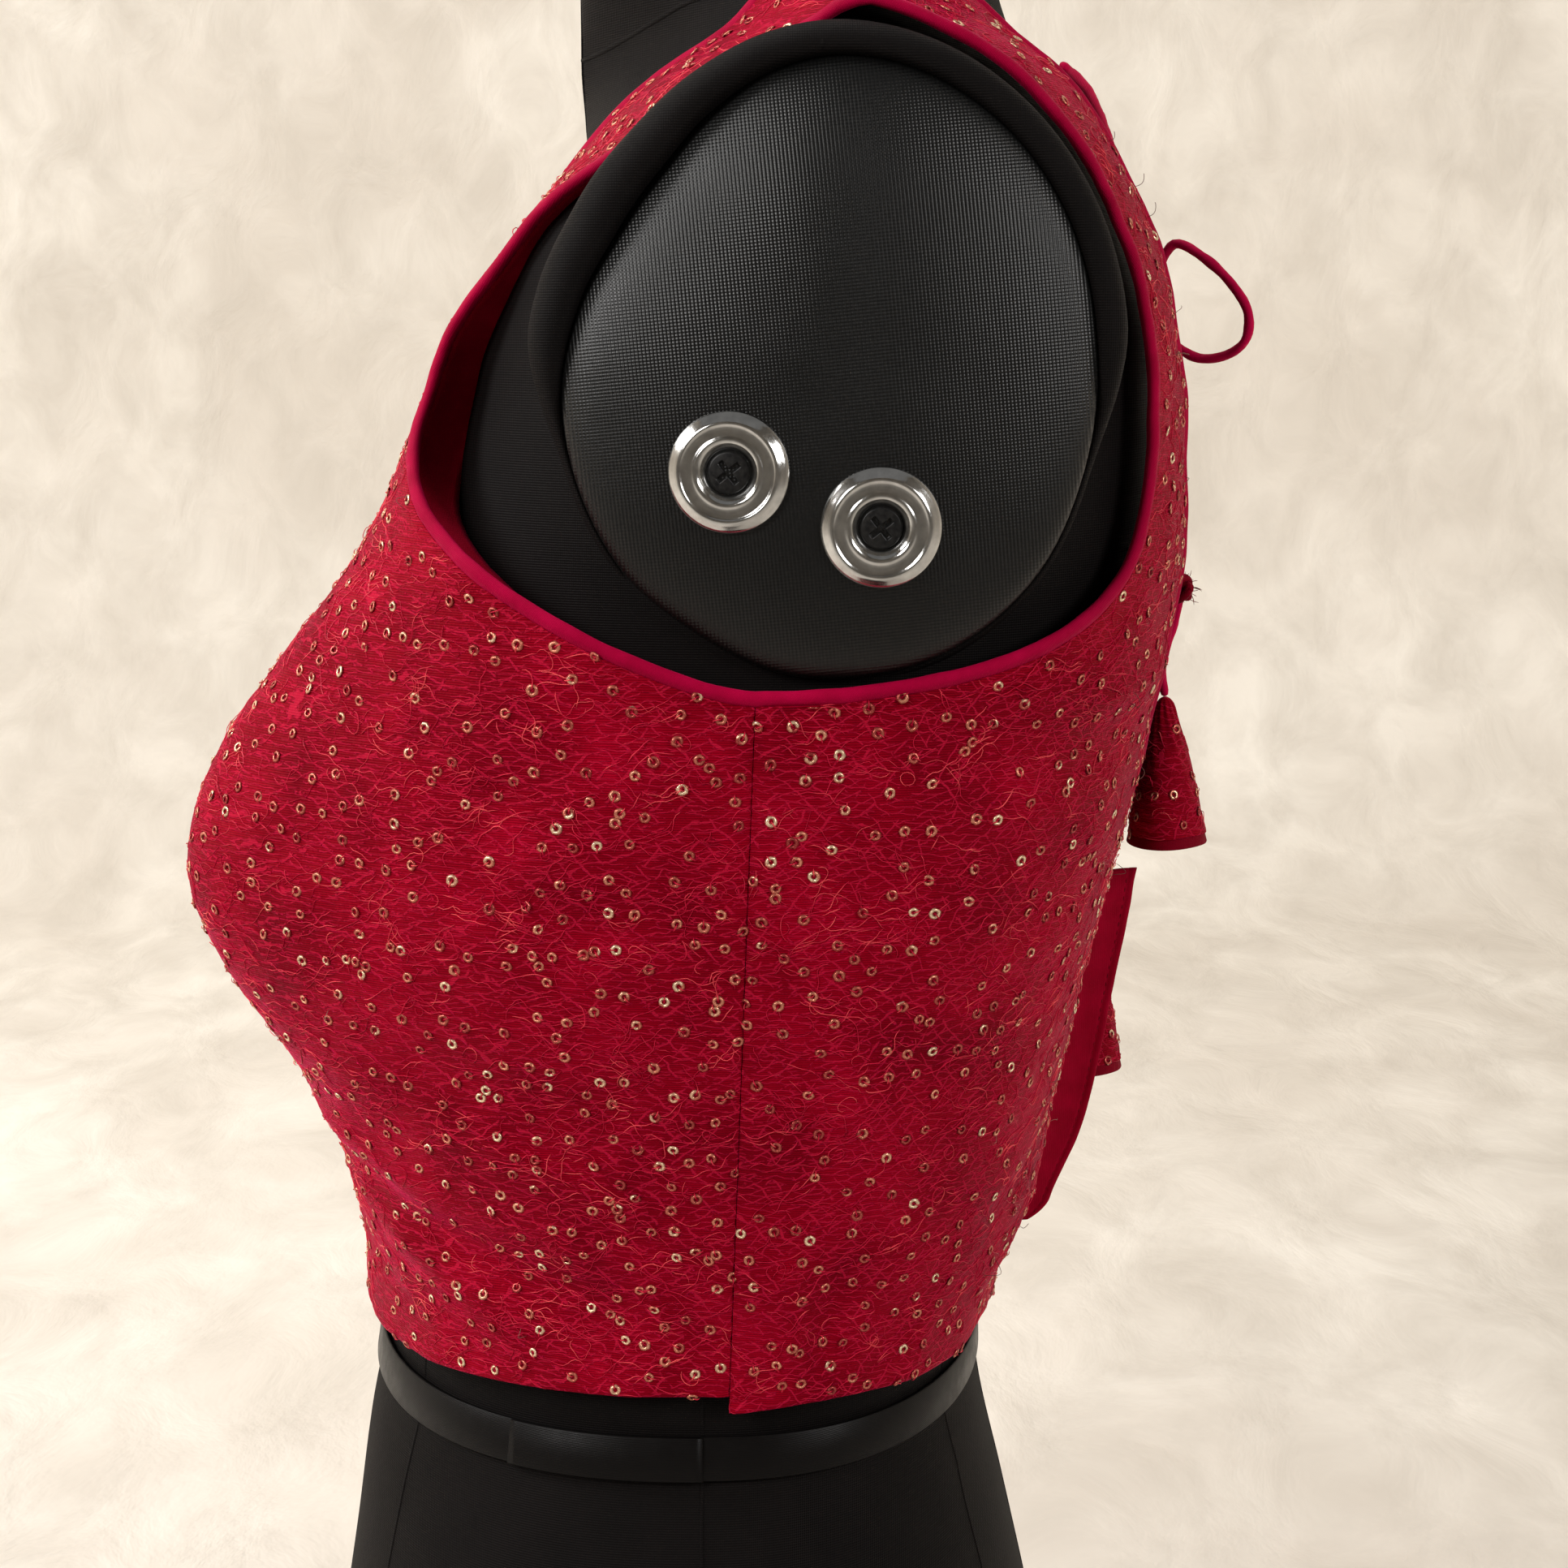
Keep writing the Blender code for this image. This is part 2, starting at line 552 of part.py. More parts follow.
def placket(edge_inner, edge_outer, look):
    """Eye strip sewn to the right back edge, standing off the back, with a rounded foot."""
    edge = (edge_inner + edge_outer) / 2
    top, bottom, width = 136.0, 22.0, 21.0
    rows, columns = 15, 4
    inner, outer = [], []
    for row in range(rows):
        t = row / (rows - 1)
        height = bottom + t * (top - bottom)
        y = np.interp(height, edge[:, 2], edge[:, 1])
        reach = width * min(1.0, math.sqrt(max(0.0, 1 - (1 - min(1.0, (height - bottom + 1.6) / 13.0)) ** 2)))
        lean = math.radians(62 + 9 * math.sin(3.3 * t) - 4 * t)
        for column in range(columns + 1):
            s = column / columns
            bend = lean - math.radians(24) * (1 - s)
            base = np.array([-2.2, y + 2.1, height])
            at = base + reach * s * np.array([-math.cos(bend), math.sin(bend), 0.0])
            flat = np.array([math.sin(bend), math.cos(bend), 0.0])
            inner.append(at - 0.8 * flat)
            outer.append(at + 0.8 * flat)
    faces = []
    width_count = columns + 1
    count = len(inner)
    for r in range(rows - 1):
        for c in range(columns):
            quad = (r * width_count + c, r * width_count + c + 1, (r + 1) * width_count + c + 1,
                    (r + 1) * width_count + c)
            faces.append(quad)
            faces.append(tuple(i + count for i in quad[::-1]))
    rim = [(0, c) for c in range(columns)] + [(r, columns) for r in range(rows - 1)]
    rim += [(rows - 1, c) for c in range(columns, 0, -1)] + [(r, 0) for r in range(rows - 1, 0, -1)]
    ids = [r * width_count + c for r, c in rim]
    for a, b in zip(ids, ids[1:] + ids[:1]):
        faces.append((a, a + count, b + count, b))
    return build("back_placket", inner + outer, faces, look, 50.0)


def latkan(tag, top, length, lean, cloth, band):
    """Cone-shaped end tassel of the cord with a plain hem band."""
    axis = Vector((lean[0], lean[1], -1.0)).normalized()

    def gathered(angle, height):
        return 1.0 + 0.06 * math.sin(3 * angle + 0.6) * min(1.0, height / 20.0)

    hem = length - LATKAN_BAND - SEAM
    lathe(f"latkan_{tag}", ((0.0, 1.5), (1.5, 2.6), (8.0, 4.4), (17.0, 6.8), (27.0, 9.2), (hem, 11.5)), top, axis,
          cloth, 16, gathered, 50.0)
    foot = np.array(top) + np.array(axis) * (length - LATKAN_BAND)
    lathe(f"latkan_band_{tag}", ((0.0, 11.6), (4.4, 12.4), (LATKAN_BAND, 12.1)), foot, axis, band, 16,
          lambda angle, height: 1.0 + 0.06 * math.sin(3 * angle + 0.6), 50.0)


def knot(name, centre, size, look, seed=0.0):
    """Small lump of cord pulled tight."""
    sides, rows = 12, 8
    points, faces = [], []
    for i in range(1, rows):
        drop = math.pi * i / rows
        for k in range(sides):
            a = 2 * math.pi * k / sides
            uneven = 1.0 + 0.08 * math.sin(3 * a + 5 * drop + seed) * math.sin(drop)
            unit = np.array([math.sin(drop) * math.cos(a), math.sin(drop) * math.sin(a), math.cos(drop)])
            points.append(np.array(centre) + uneven * unit * size)
    for i in range(rows - 2):
        for k in range(sides):
            a, b = i * sides, (i + 1) * sides
            faces.append((a + k, b + k, b + (k + 1) % sides, a + (k + 1) % sides))
    faces.append(tuple(range(sides)))
    faces.append(tuple(range(len(points) - sides, len(points)))[::-1])
    return surface_of(build(name, points, faces, look, 60.0)), Vector(place(centre))


def leaving(tied, direction):
    """First two points of a cord whose flat end meets a knot."""
    skin, centre = tied
    way = Vector(direction).normalized()
    across = way.orthogonal().normalized()
    reach = 0.0
    for k in range(8):
        offset = Quaternion(way, math.radians(45 * k)) @ across * DORI / 2 * MM
        met = skin.ray_cast(centre + way * 20 * MM + offset, -way)[0]
        if met:
            reach = max(reach, (met - centre).dot(way))
    middle = skin.ray_cast(centre + way * 20 * MM, -way)[0]
    reach = max(reach, (middle - centre).dot(way)) + 0.55 * MM
    ends = [centre + way * reach, centre + way * (reach + 3.6 * MM)]
    return [(end.x / MM, end.y / MM, end.z / MM - WAIST) for end in ends]


for old in list(bpy.data.objects):
    bpy.data.objects.remove(old, do_unlink=True)

brocade = material("crimson_brocade", (0.36, 0.006, 0.045), 0.52)
binding_cloth = material("crimson_binding", (0.33, 0.004, 0.034), 0.6)
band_cloth = material("dark_crimson_band", (0.16, 0.003, 0.018), 0.65)
cord_look = material("crimson_cord", (0.38, 0.005, 0.04), 0.55)
form_cover = material("black_form_cover", (0.012, 0.012, 0.013), 0.85)
knit_cover = material("black_knit_plate", (0.016, 0.016, 0.017), 0.8)
tape_look = material("black_waist_tape", (0.015, 0.015, 0.017), 0.4)
chrome = material("polished_steel", (0.62, 0.62, 0.63), 0.22, 1.0)
screw_look = material("black_screw", (0.02, 0.02, 0.022), 0.35, 0.6)

body = torso(form_cover)
tree = surface_of(body)
waist_tape(tape_look)

front_halves = [half_panel(FRONT_STEPS, FRONT_ARMHOLE, FRONT_NECK, folds, -1, side)
                for side, folds in ((1, FRONT_LEFT_FOLDS), (-1, FRONT_RIGHT_FOLDS))]
back_halves = [half_panel(BACK_STEPS, BACK_ARMHOLE, BACK_NECK, folds, 1, side)
               for side, folds in ((1, BACK_LEFT_FOLDS), (-1, BACK_RIGHT_FOLDS))]
shell("front", front_halves, brocade)
shell("back_left", back_halves[:1], brocade)
shell("back_right", back_halves[1:], brocade)

top_front, top_back = len(FRONT_STEPS) - 1, len(BACK_STEPS) - 1
for (side_name, side), front_half, back_half in zip((("left", 1), ("right", -1)), front_halves, back_halves):
    loop = joined([edge_line(front_half, 0, FRONT_STEPS.index(0), top_front),
                   edge_line(back_half, 0, BACK_STEPS.index(0), top_back)[::-1]])
    loop[0] = (loop[0] + loop[-1]) / 2
    binding(f"armhole_binding_{side_name}", loop[:-1], side, binding_cloth, True)
    arm_plate(f"arm_plate_{side_name}", side, tree, knit_cover)
    for where, y, z in SOCKETS:
        socket(where, side_name, side, y, z, chrome, screw_look)

neck_parts = []
for side in (0, 1):
    half_neck = [edge_line(back_halves[side], -1, BACK_STEPS.index(BACK_NECK_FOOT), top_back),
                 edge_line(front_halves[side], -1, FRONT_STEPS.index(VEE_FOOT), top_front)[::-1]]
    neck_parts += half_neck if side == 0 else [line[::-1] for line in half_neck[::-1]]
binding("neck_binding", joined(neck_parts), 1, binding_cloth, False)

right_inner, right_outer = back_halves[1]
placket(right_inner[:, -1], right_outer[:, -1], binding_cloth)

bow = knot("dori_knot", (0.0, 140.0, 312.0), (6.0, 4.6, 6.0), cord_look)
upper_knot = knot("latkan_knot_left", (4.0, 155.0, 225.6), (4.4, 4.6, 4.8), band_cloth, 1.0)
lower_knot = knot("latkan_knot_right", (-23.7, 134.4, 147.0), (4.4, 4.4, 4.6), band_cloth, 2.0)
for side_name, side in (("left", 1), ("right", -1)):
    strap = [(side * x, y, z) for x, y, z in ((92, 104.5, 369), (80, 112, 364.5), (65, 118.5, 356.5),
                                              (42, 127, 341), (22, 133, 325.8))]
    cord(f"dori_{side_name}", strap + leaving(bow, (side * 0.82, -0.25, 0.51))[::-1], cord_look, 4)
cord("bow_loop_left", leaving(bow, (0.55, 0.5, 0.67))
     + [(9, 150, 326.5), (17, 157, 325), (24, 163.5, 315), (23, 164, 303), (16, 158, 296)]
     + leaving(bow, (0.8, 0.3, -0.5))[::-1], cord_look, 3)
cord("bow_loop_right", leaving(bow, (-0.55, 0.5, 0.67))
     + [(-13, 147, 321), (-24, 148.5, 318), (-32, 150, 306), (-30, 150, 294), (-20, 148, 291)]
     + leaving(bow, (-0.8, 0.3, -0.5))[::-1], cord_look, 3)
cord("dori_tail_left", leaving(bow, (0.3, 0.05, -0.95))
     + [(3.2, 141.8, 290), (3.2, 142.4, 268), (4, 145.5, 248)] + leaving(upper_knot, (0.0, -0.12, 1.0))[::-1],
     cord_look, 3)
cord("dori_tail_right", leaving(bow, (-0.28, 0.2, -0.94))
     + [(-6, 145, 288), (-12, 148.5, 258), (-17, 147.5, 225), (-21, 141, 190)]
     + leaving(lower_knot, (0.05, 0.14, 1.0))[::-1], cord_look, 4)
upper_top, lower_top = (3.0, 149.1, 192.2), (-24.3, 129.0, 115.2)
cord("latkan_string_left", leaving(upper_knot, (-0.08, -0.35, -1.0))
     + [(3.0, 147.8, 202), (3.0, 149.0, 192.5)], cord_look, 2)
cord("latkan_string_right", leaving(lower_knot, (-0.03, -0.2, -1.0))
     + [(-24.3, 130.2, 124), (-24.3, 129.0, 115.5)], cord_look, 2)
latkan("left", upper_top, LATKAN_LENGTH, (0.0, 0.03), brocade, band_cloth)
latkan("right", lower_top, LATKAN_LENGTH, (0.0, -0.06), brocade, band_cloth)
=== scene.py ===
import math

import bpy
import numpy as np
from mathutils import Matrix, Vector
from mathutils.bvhtree import BVHTree


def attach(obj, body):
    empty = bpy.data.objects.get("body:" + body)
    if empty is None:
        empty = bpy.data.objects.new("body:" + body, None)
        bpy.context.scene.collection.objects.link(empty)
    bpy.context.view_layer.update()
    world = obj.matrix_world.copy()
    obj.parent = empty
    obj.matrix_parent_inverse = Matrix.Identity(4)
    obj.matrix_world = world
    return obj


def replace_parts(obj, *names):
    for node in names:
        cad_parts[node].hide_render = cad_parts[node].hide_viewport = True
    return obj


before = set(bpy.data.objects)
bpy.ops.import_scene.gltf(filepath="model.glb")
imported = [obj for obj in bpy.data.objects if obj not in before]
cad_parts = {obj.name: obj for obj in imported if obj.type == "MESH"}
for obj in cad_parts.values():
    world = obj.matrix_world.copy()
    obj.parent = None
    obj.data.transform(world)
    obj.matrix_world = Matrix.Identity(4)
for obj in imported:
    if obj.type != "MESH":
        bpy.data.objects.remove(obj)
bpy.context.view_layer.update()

# Lengths are millimetres with heights from the waist line, as in the part's
# tables.  place() turns them into the frame's metres.
MM = 0.001
WAIST = 230.0
WALL = 1.8
UNDERARM = np.array([0.0, 26.0, 212.0])
CORD = 2.8
RNG = np.random.default_rng(11)


def place(points):
    return (np.asarray(points, float).reshape(-1, 3) + (0.0, 0.0, WAIST)) * MM


# Camera, as the photograph was taken.
eye = bpy.data.cameras.new("camera")
eye.lens, eye.sensor_width = 56.83, 36.0
eye.clip_start = 0.01
camera = bpy.data.objects.new("camera", eye)
camera.location = (0.750, 0.033, 0.530)
camera.rotation_euler = (math.radians(90 - 10.2), 0.0, math.radians(90))
bpy.context.scene.collection.objects.link(camera)
bpy.context.scene.camera = camera
bpy.context.scene.view_settings.view_transform = "Standard"


# Materials.

class Look:
    """A node material; values go on the shader's own sockets."""

    def __init__(self, name, tint=None, **values):
        self.made = bpy.data.materials.new(name)
        self.made.use_nodes = True
        self.tree = self.made.node_tree
        self.shader = self.tree.nodes["Principled BSDF"]
        for socket, value in values.items():
            self.shader.inputs[socket.replace("_", " ")].default_value = value
        if tint:
            self.shader.inputs["Sheen Tint"].default_value = (*tint, 1.0)
        self.coords = self.tree.nodes.new("ShaderNodeTexCoord").outputs["Object"]

    def node(self, kind, settings=None, **inputs):
        made = self.tree.nodes.new("ShaderNode" + kind)
        for key, value in (settings or {}).items():
            setattr(made, key, value)
        for key, value in inputs.items():
            numbered = key[0] == "i" and key[1:].isdigit()
            socket = made.inputs[int(key[1:]) if numbered else key]
            if isinstance(value, bpy.types.NodeSocket):
                self.tree.links.new(value, socket)
            else:
                socket.default_value = value
        return made

    def scaled(self, x=1000.0, y=1000.0, z=1000.0, turn=(0.0, 0.0, 0.0)):
        return self.node("Mapping", Vector=self.coords, Scale=(x, y, z), Rotation=turn).outputs[0]

    def noise(self, vector, scale, detail=3.0, rough=0.55, distortion=0.0):
        return self.node("TexNoise", Vector=vector, Scale=scale, Detail=detail, Roughness=rough,
                         Distortion=distortion).outputs[0]

    def ramp(self, value, *stops):
        made = self.node("ValToRGB", Fac=value)
        band = made.color_ramp
        while len(band.elements) < len(stops):
            band.elements.new(0.5)
        for element, (at, colour) in zip(band.elements, stops):
            element.position = at
            element.color = (*(colour if isinstance(colour, tuple) else (colour,) * 3), 1.0)
        return made.outputs[0]

    def mix(self, factor, first, second, blend="MIX"):
        first = (*first, 1.0) if isinstance(first, tuple) else first
        second = (*second, 1.0) if isinstance(second, tuple) else second
        return self.node("Mix", {"data_type": "RGBA", "blend_type": blend}, i0=factor, i6=first,
                         i7=second).outputs[2]

    def maths(self, operation, a, b=0.0, c=0.0):
        return self.node("Math", {"operation": operation}, i0=a, i1=b, i2=c).outputs[0]

    def colour(self, value):
        self.tree.links.new(value, self.shader.inputs["Base Color"])

    def roughness(self, value):
        self.tree.links.new(value, self.shader.inputs["Roughness"])

    def bump(self, *layers):
        normal = None
        for height, distance, strength in layers:
            made = self.node("Bump", Height=height, Distance=distance, Strength=strength)
            if normal is not None:
                self.tree.links.new(normal, made.inputs["Normal"])
            normal = made.outputs[0]
        self.tree.links.new(normal, self.shader.inputs["Normal"])

    def ribs(self, vector, pitch, axis="Z", distortion=0.0, detail=2.0, detail_scale=1.0):
        settings = {"wave_type": "BANDS", "bands_direction": axis, "wave_profile": "SIN"}
        return self.node("TexWave", settings, Vector=vector, Scale=2 * math.pi / 20.0 / pitch,
                         Distortion=distortion, Detail=detail, i4=detail_scale).outputs[1]

    def wandering(self, tilt, pitch, width, seed, cover):
        """Fine broken wavy lines, as of thread that wanders across the cloth."""
        moved = self.node("Mapping", Vector=self.coords, Scale=(1000.0, 1000.0, 1000.0),
                          Location=(seed, 0.0, seed),
                          Rotation=(math.radians(tilt), math.radians(tilt * 0.7), 0.0)).outputs[0]
        wave = self.ribs(moved, pitch, "Z", 4.2, 2.0, 1.3)
        line = self.ramp(wave, (1.0 - width, 0.0), (1.0 - width * 0.45, 1.0))
        broken = self.ramp(self.noise(moved, 0.17, 3.0, 0.6), (cover, 0.0), (cover + 0.05, 1.0))
        return self.maths("MULTIPLY", line, broken)


def brocade_look():
    """Crimson net over a lining, under a web of fine wavy stitched threads."""
    m = Look("brocade", (1.0, 0.012, 0.16), Sheen_Weight=0.62, Sheen_Roughness=0.32, Specular_IOR_Level=0.05)
    m.shader.inputs["Specular Tint"].default_value = (1.0, 0.10, 0.18, 1.0)
    flat = m.scaled()
    ground = m.ramp(m.noise(flat, 0.035, 4.0), (0.30, (0.185, 0.0004, 0.0068)),
                    (0.52, (0.290, 0.0007, 0.0105)), (0.74, (0.420, 0.0012, 0.0180)))
    ribs = m.ribs(flat, 0.62, distortion=0.35, detail_scale=0.6)
    ground = m.mix(m.maths("MULTIPLY", ribs, 0.50), ground, (0.065, 0.0002, 0.0026))
    lines = m.wandering(7.0, 1.9, 0.085, 3.0, 0.42)
    for tilt, pitch, width, seed, cover in ((-19.0, 2.7, 0.065, 71.0, 0.45), (41.0, 3.4, 0.055, 140.0, 0.47),
                                            (-48.0, 4.1, 0.050, 260.0, 0.49)):
        lines = m.maths("MAXIMUM", lines, m.wandering(tilt, pitch, width, seed, cover))
    m.colour(m.mix(m.maths("MULTIPLY", lines, 0.62), ground, (0.55, 0.010, 0.044)))
    m.roughness(m.ramp(m.noise(flat, 0.4), (0.3, 0.42), (0.7, 0.62)))
    m.bump((ribs, 0.00015, 0.6), (lines, 0.00034, 0.8), (m.noise(flat, 0.9, 3.0), 0.00045, 0.5),
           (m.noise(flat, 0.14, 2.0), 0.0010, 0.35))
    return m.made


def plain_cloth(name, dark, light, roughness, pitch=0.45, turn=(0.0, 0.0, 0.0), sheen=0.30):
    """Plain woven cloth: fine crossed ribs and a little unevenness of the colour."""
    m = Look(name, (1.0, 0.04, 0.24), Sheen_Weight=sheen, Sheen_Roughness=0.35, Specular_IOR_Level=0.08)
    m.shader.inputs["Specular Tint"].default_value = (1.0, 0.15, 0.25, 1.0)
    flat = m.scaled(turn=turn)
    one = m.ribs(flat, pitch, "Z", 0.6)
    two = m.ribs(flat, pitch * 1.15, "Y", 0.6)
    weave = m.maths("MAXIMUM", one, two)
    ground = m.ramp(m.noise(flat, 0.11, 4.0), (0.3, dark), (0.7, light))
    m.colour(m.mix(m.maths("MULTIPLY", weave, 0.25), ground, tuple(c * 0.45 for c in dark)))
    m.roughness(m.ramp(m.noise(flat, 0.3), (0.3, roughness - 0.07), (0.7, roughness + 0.09)))
    m.bump((weave, 0.0001, 0.6), (m.noise(flat, 0.25, 3.0), 0.0004, 0.35))
    return m.made


def knit_look(name, dark, light, roughness, pitch, tilt, depth, gloss):
    """Black knit with fine ribs that catch the light."""
    m = Look(name, Specular_IOR_Level=gloss)
    flat = m.scaled(turn=(math.radians(tilt), 0.0, 0.0))
    ribs = m.ribs(flat, pitch, "Z", 0.12, detail_scale=0.4)
    loops = m.ribs(flat, pitch * 0.9, "Y", 0.5)
    ground = m.ramp(m.noise(flat, 0.05, 4.0), (0.3, dark), (0.72, light))
    m.colour(m.mix(m.maths("MULTIPLY", ribs, 0.6), ground, tuple(c * 0.25 for c in dark)))
    dull = m.ramp(m.noise(flat, 0.9), (0.3, roughness - 0.03), (0.7, roughness + 0.03))
    m.roughness(m.maths("ADD", dull, m.maths("MULTIPLY", ribs, 0.12)))
    m.bump((ribs, depth, 0.9), (loops, depth * 0.8, 0.7), (m.noise(flat, 0.12, 2.0), 0.0005, 0.2))
    return m.made


def thread_look(name, low, middle, high, gloss=0.5):
    m = Look(name, Specular_IOR_Level=gloss, Roughness=0.34)
    m.shader.inputs["Specular Tint"].default_value = (1.0, 0.30, 0.32, 1.0)
    flat = m.scaled()
    m.colour(m.ramp(m.noise(flat, 0.09, 2.0), (0.32, low), (0.52, middle), (0.70, high)))
    m.bump((m.ribs(flat, 0.35, "DIAGONAL"), 0.00008, 0.6))
    return m.made


def sequin_look():
    """Clear champagne discs that show the red below, tilted a little each way; some carry a painted
    highlight, a bright gold colour as of a disc turned to the light.
    """
    m = Look("champagne_sequin", Metallic=0.65, Specular_IOR_Level=0.5)
    flat = m.scaled()
    cells = m.node("TexVoronoi", Vector=flat, Scale=0.17).outputs[1]
    # Each Voronoi cell, about one sequin, takes one tone from brown-gold to champagne; the brightest gold
    # stops are a painted highlight, as of a disc catching the light.
    tone_and_glint = m.ramp(m.node("SeparateColor", Color=cells).outputs[0], (0.05, (0.42, 0.060, 0.052)),
                  (0.45, (0.62, 0.175, 0.115)), (0.80, (0.84, 0.360, 0.220)), (0.92, (1.0, 0.80, 0.52)))
    m.colour(m.mix(m.ramp(m.noise(flat, 1.1, 2.0), (0.35, 0.0), (0.7, 0.45)), tone_and_glint, (0.28, 0.03, 0.035)))
    m.roughness(m.ramp(m.noise(flat, 1.4), (0.35, 0.20), (0.65, 0.40)))
    m.bump((m.noise(flat, 2.2, 2.0), 0.00012, 0.5))
    return m.made


def steel_look():
    m = Look("polished_steel", Metallic=1.0)
    flat = m.scaled()
    m.colour(m.ramp(m.noise(flat, 0.35, 3.0), (0.3, (0.50, 0.50, 0.49)), (0.7, (0.66, 0.655, 0.64))))
    fine = m.noise(m.scaled(200.0, 6000.0, 1500.0), 1.0, 2.0)
    m.roughness(m.ramp(fine, (0.3, 0.09), (0.7, 0.19)))
    m.bump((fine, 0.00002, 0.12))
    return m.made


def screw_look():
    m = Look("black_screw", Metallic=0.5)
    flat = m.scaled()
    m.colour(m.ramp(m.noise(flat, 0.8), (0.3, (0.006, 0.006, 0.007)), (0.7, (0.026, 0.025, 0.024))))
    m.roughness(m.ramp(m.noise(flat, 1.6), (0.3, 0.30), (0.7, 0.50)))
    m.bump((m.noise(flat, 3.0), 0.00004, 0.4))
    return m.made


def tape_look():
    m = Look("black_waist_tape", Specular_IOR_Level=0.10)
    flat = m.scaled()
    ribs = m.ribs(flat, 0.4, "Z", 0.2)
    m.colour(m.mix(ribs, (0.0030, 0.0026, 0.0026), (0.0062, 0.0052, 0.0050)))
    m.roughness(m.ramp(m.noise(flat, 0.2), (0.3, 0.30), (0.7, 0.42)))
    m.bump((ribs, 0.00006, 0.5))
    return m.made


def stage_look():
    m = Look("pale_ground", Roughness=0.92, Specular_IOR_Level=0.1)
    soft = m.noise(m.scaled(3.5, 3.5, 3.5, (0.5, 0.3, 0.2)), 1.0, 3.0, 0.55, 0.5)
    nap = m.noise(m.scaled(10.0, 16.0, 11.0, (0.7, 0.2, 0.1)), 1.0, 5.0, 0.58, 0.5)
    cloud = m.ramp(soft, (0.34, (0.72, 0.665, 0.590)), (0.62, (0.84, 0.795, 0.720)))
    wall = m.mix(m.ramp(nap, (0.36, 0.0), (0.72, 0.75)), cloud, (0.60, 0.550, 0.480))
    # Painted shade: the stage grows darker towards the camera's side, standing in for the dim room behind the
    # camera.
    across = m.node("Mapping", Vector=m.coords, Location=(0.5, 0.0, 0.0), Scale=(0.5, 1.0, 1.0)).outputs[0]
    camera_side_shade = m.ramp(m.node("SeparateXYZ", Vector=across).outputs[0], (0.42, 0.0), (0.95, 1.0))
    m.colour(m.mix(camera_side_shade, wall, (0.20, 0.185, 0.165)))
    m.bump((nap, 0.009, 0.5), (soft, 0.02, 0.35))
    return m.made


BROCADE = brocade_look()
LINING = plain_cloth("lining", (0.30, 0.0010, 0.014), (0.42, 0.0020, 0.024), 0.6, sheen=0.1)
PIPING = plain_cloth("crimson_piping", (0.32, 0.0008, 0.028), (0.45, 0.0016, 0.045), 0.55, 0.4,
                     (0.8, 0.4, 0.3))
STRIP = plain_cloth("crimson_eye_strip", (0.26, 0.0008, 0.013), (0.36, 0.0014, 0.022), 0.6, 0.4)
CORD_LOOK = plain_cloth("crimson_tie_cord", (0.46, 0.0020, 0.046), (0.62, 0.0040, 0.070), 0.5, 0.35,
                        (0.5, 0.9, 0.2))
BAND = plain_cloth("dark_crimson_hem", (0.150, 0.0006, 0.0075), (0.22, 0.0010, 0.0120), 0.65, sheen=0.15)
THREAD = thread_look("embroidery_thread", (0.42, 0.0028, 0.026), (0.62, 0.014, 0.052),
                     (0.95, 0.11, 0.12), 0.35)
SEAM_THREAD = thread_look("seam_thread", (0.11, 0.0010, 0.006), (0.20, 0.002, 0.011),
                          (0.28, 0.004, 0.018), 0.3)
STRAY = thread_look("stray_fibre", (0.10, 0.055, 0.045), (0.20, 0.10, 0.08), (0.42, 0.20, 0.17))
SEQUIN = sequin_look()
FORM_COVER = knit_look("black_form_cover", (0.0034, 0.0023, 0.0022), (0.0058, 0.0042, 0.0040),
                       0.66, 0.62, 0.0, 0.00008, 0.09)
PLATE_COVER = knit_look("black_ribbed_knit", (0.0022, 0.0021, 0.0020), (0.0042, 0.0042, 0.0041),
                        0.31, 0.90, 84.0, 0.00008, 0.36)
TAPE = tape_look()
STEEL = steel_look()
SCREW = screw_look()
GROUND = stage_look()


# Meshes.

def piece(name, points, faces, looks, second=None):
    """One mesh object in the frame; second holds the face numbers that take the second material."""
    mesh = bpy.data.meshes.new(name)
    mesh.from_pydata(place(points).tolist(), [], [tuple(f) for f in faces])
    for look in looks if isinstance(looks, (list, tuple)) else [looks]:
        mesh.materials.append(look)
    if second is not None:
        index = np.zeros(len(mesh.polygons), np.int32)
        index[second] = 1
        mesh.polygons.foreach_set("material_index", index)
    mesh.polygons.foreach_set("use_smooth", np.full(len(mesh.polygons), True))
    mesh.update()
    mesh.validate()
    made = bpy.data.objects.new(name, mesh)
    bpy.context.scene.collection.objects.link(made)
    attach(made, "root")
    return made


def grid_quads(rows, columns, around=False, start=0):
    """Quads of a grid of rows, closed from the last column to the first if around."""
    r, c = np.meshgrid(np.arange(rows - 1), np.arange(columns if around else columns - 1), indexing="ij")
    right = (c + 1) % columns
    return (start + np.stack([r * columns + c, r * columns + right, (r + 1) * columns + right,
                              (r + 1) * columns + c], -1)).reshape(-1, 4)


def capped(quads, rows, columns):
    """Faces of a tube's grid with its first and last ring closed by flat faces."""
    return [tuple(q) for q in quads] + [tuple(range(columns))[::-1],
                                        tuple(range((rows - 1) * columns, rows * columns))]


def looped(quads, rows, columns):
    """Faces of a tube's grid with its last ring joined to its first."""
    last, first = (rows - 1) * columns + np.arange(columns), np.arange(columns)
    return np.vstack([quads, np.stack([last, np.roll(last, -1), np.roll(first, -1), first], -1)])


def unit(v):
    return v / np.maximum(np.linalg.norm(v, axis=-1, keepdims=True), 1e-9)


def circle(sides):
    return 2 * math.pi * np.arange(sides) / sides


def gaps(points):
    """Distances from each point of a line to the next."""
    return np.linalg.norm(np.diff(points, axis=0), axis=1)


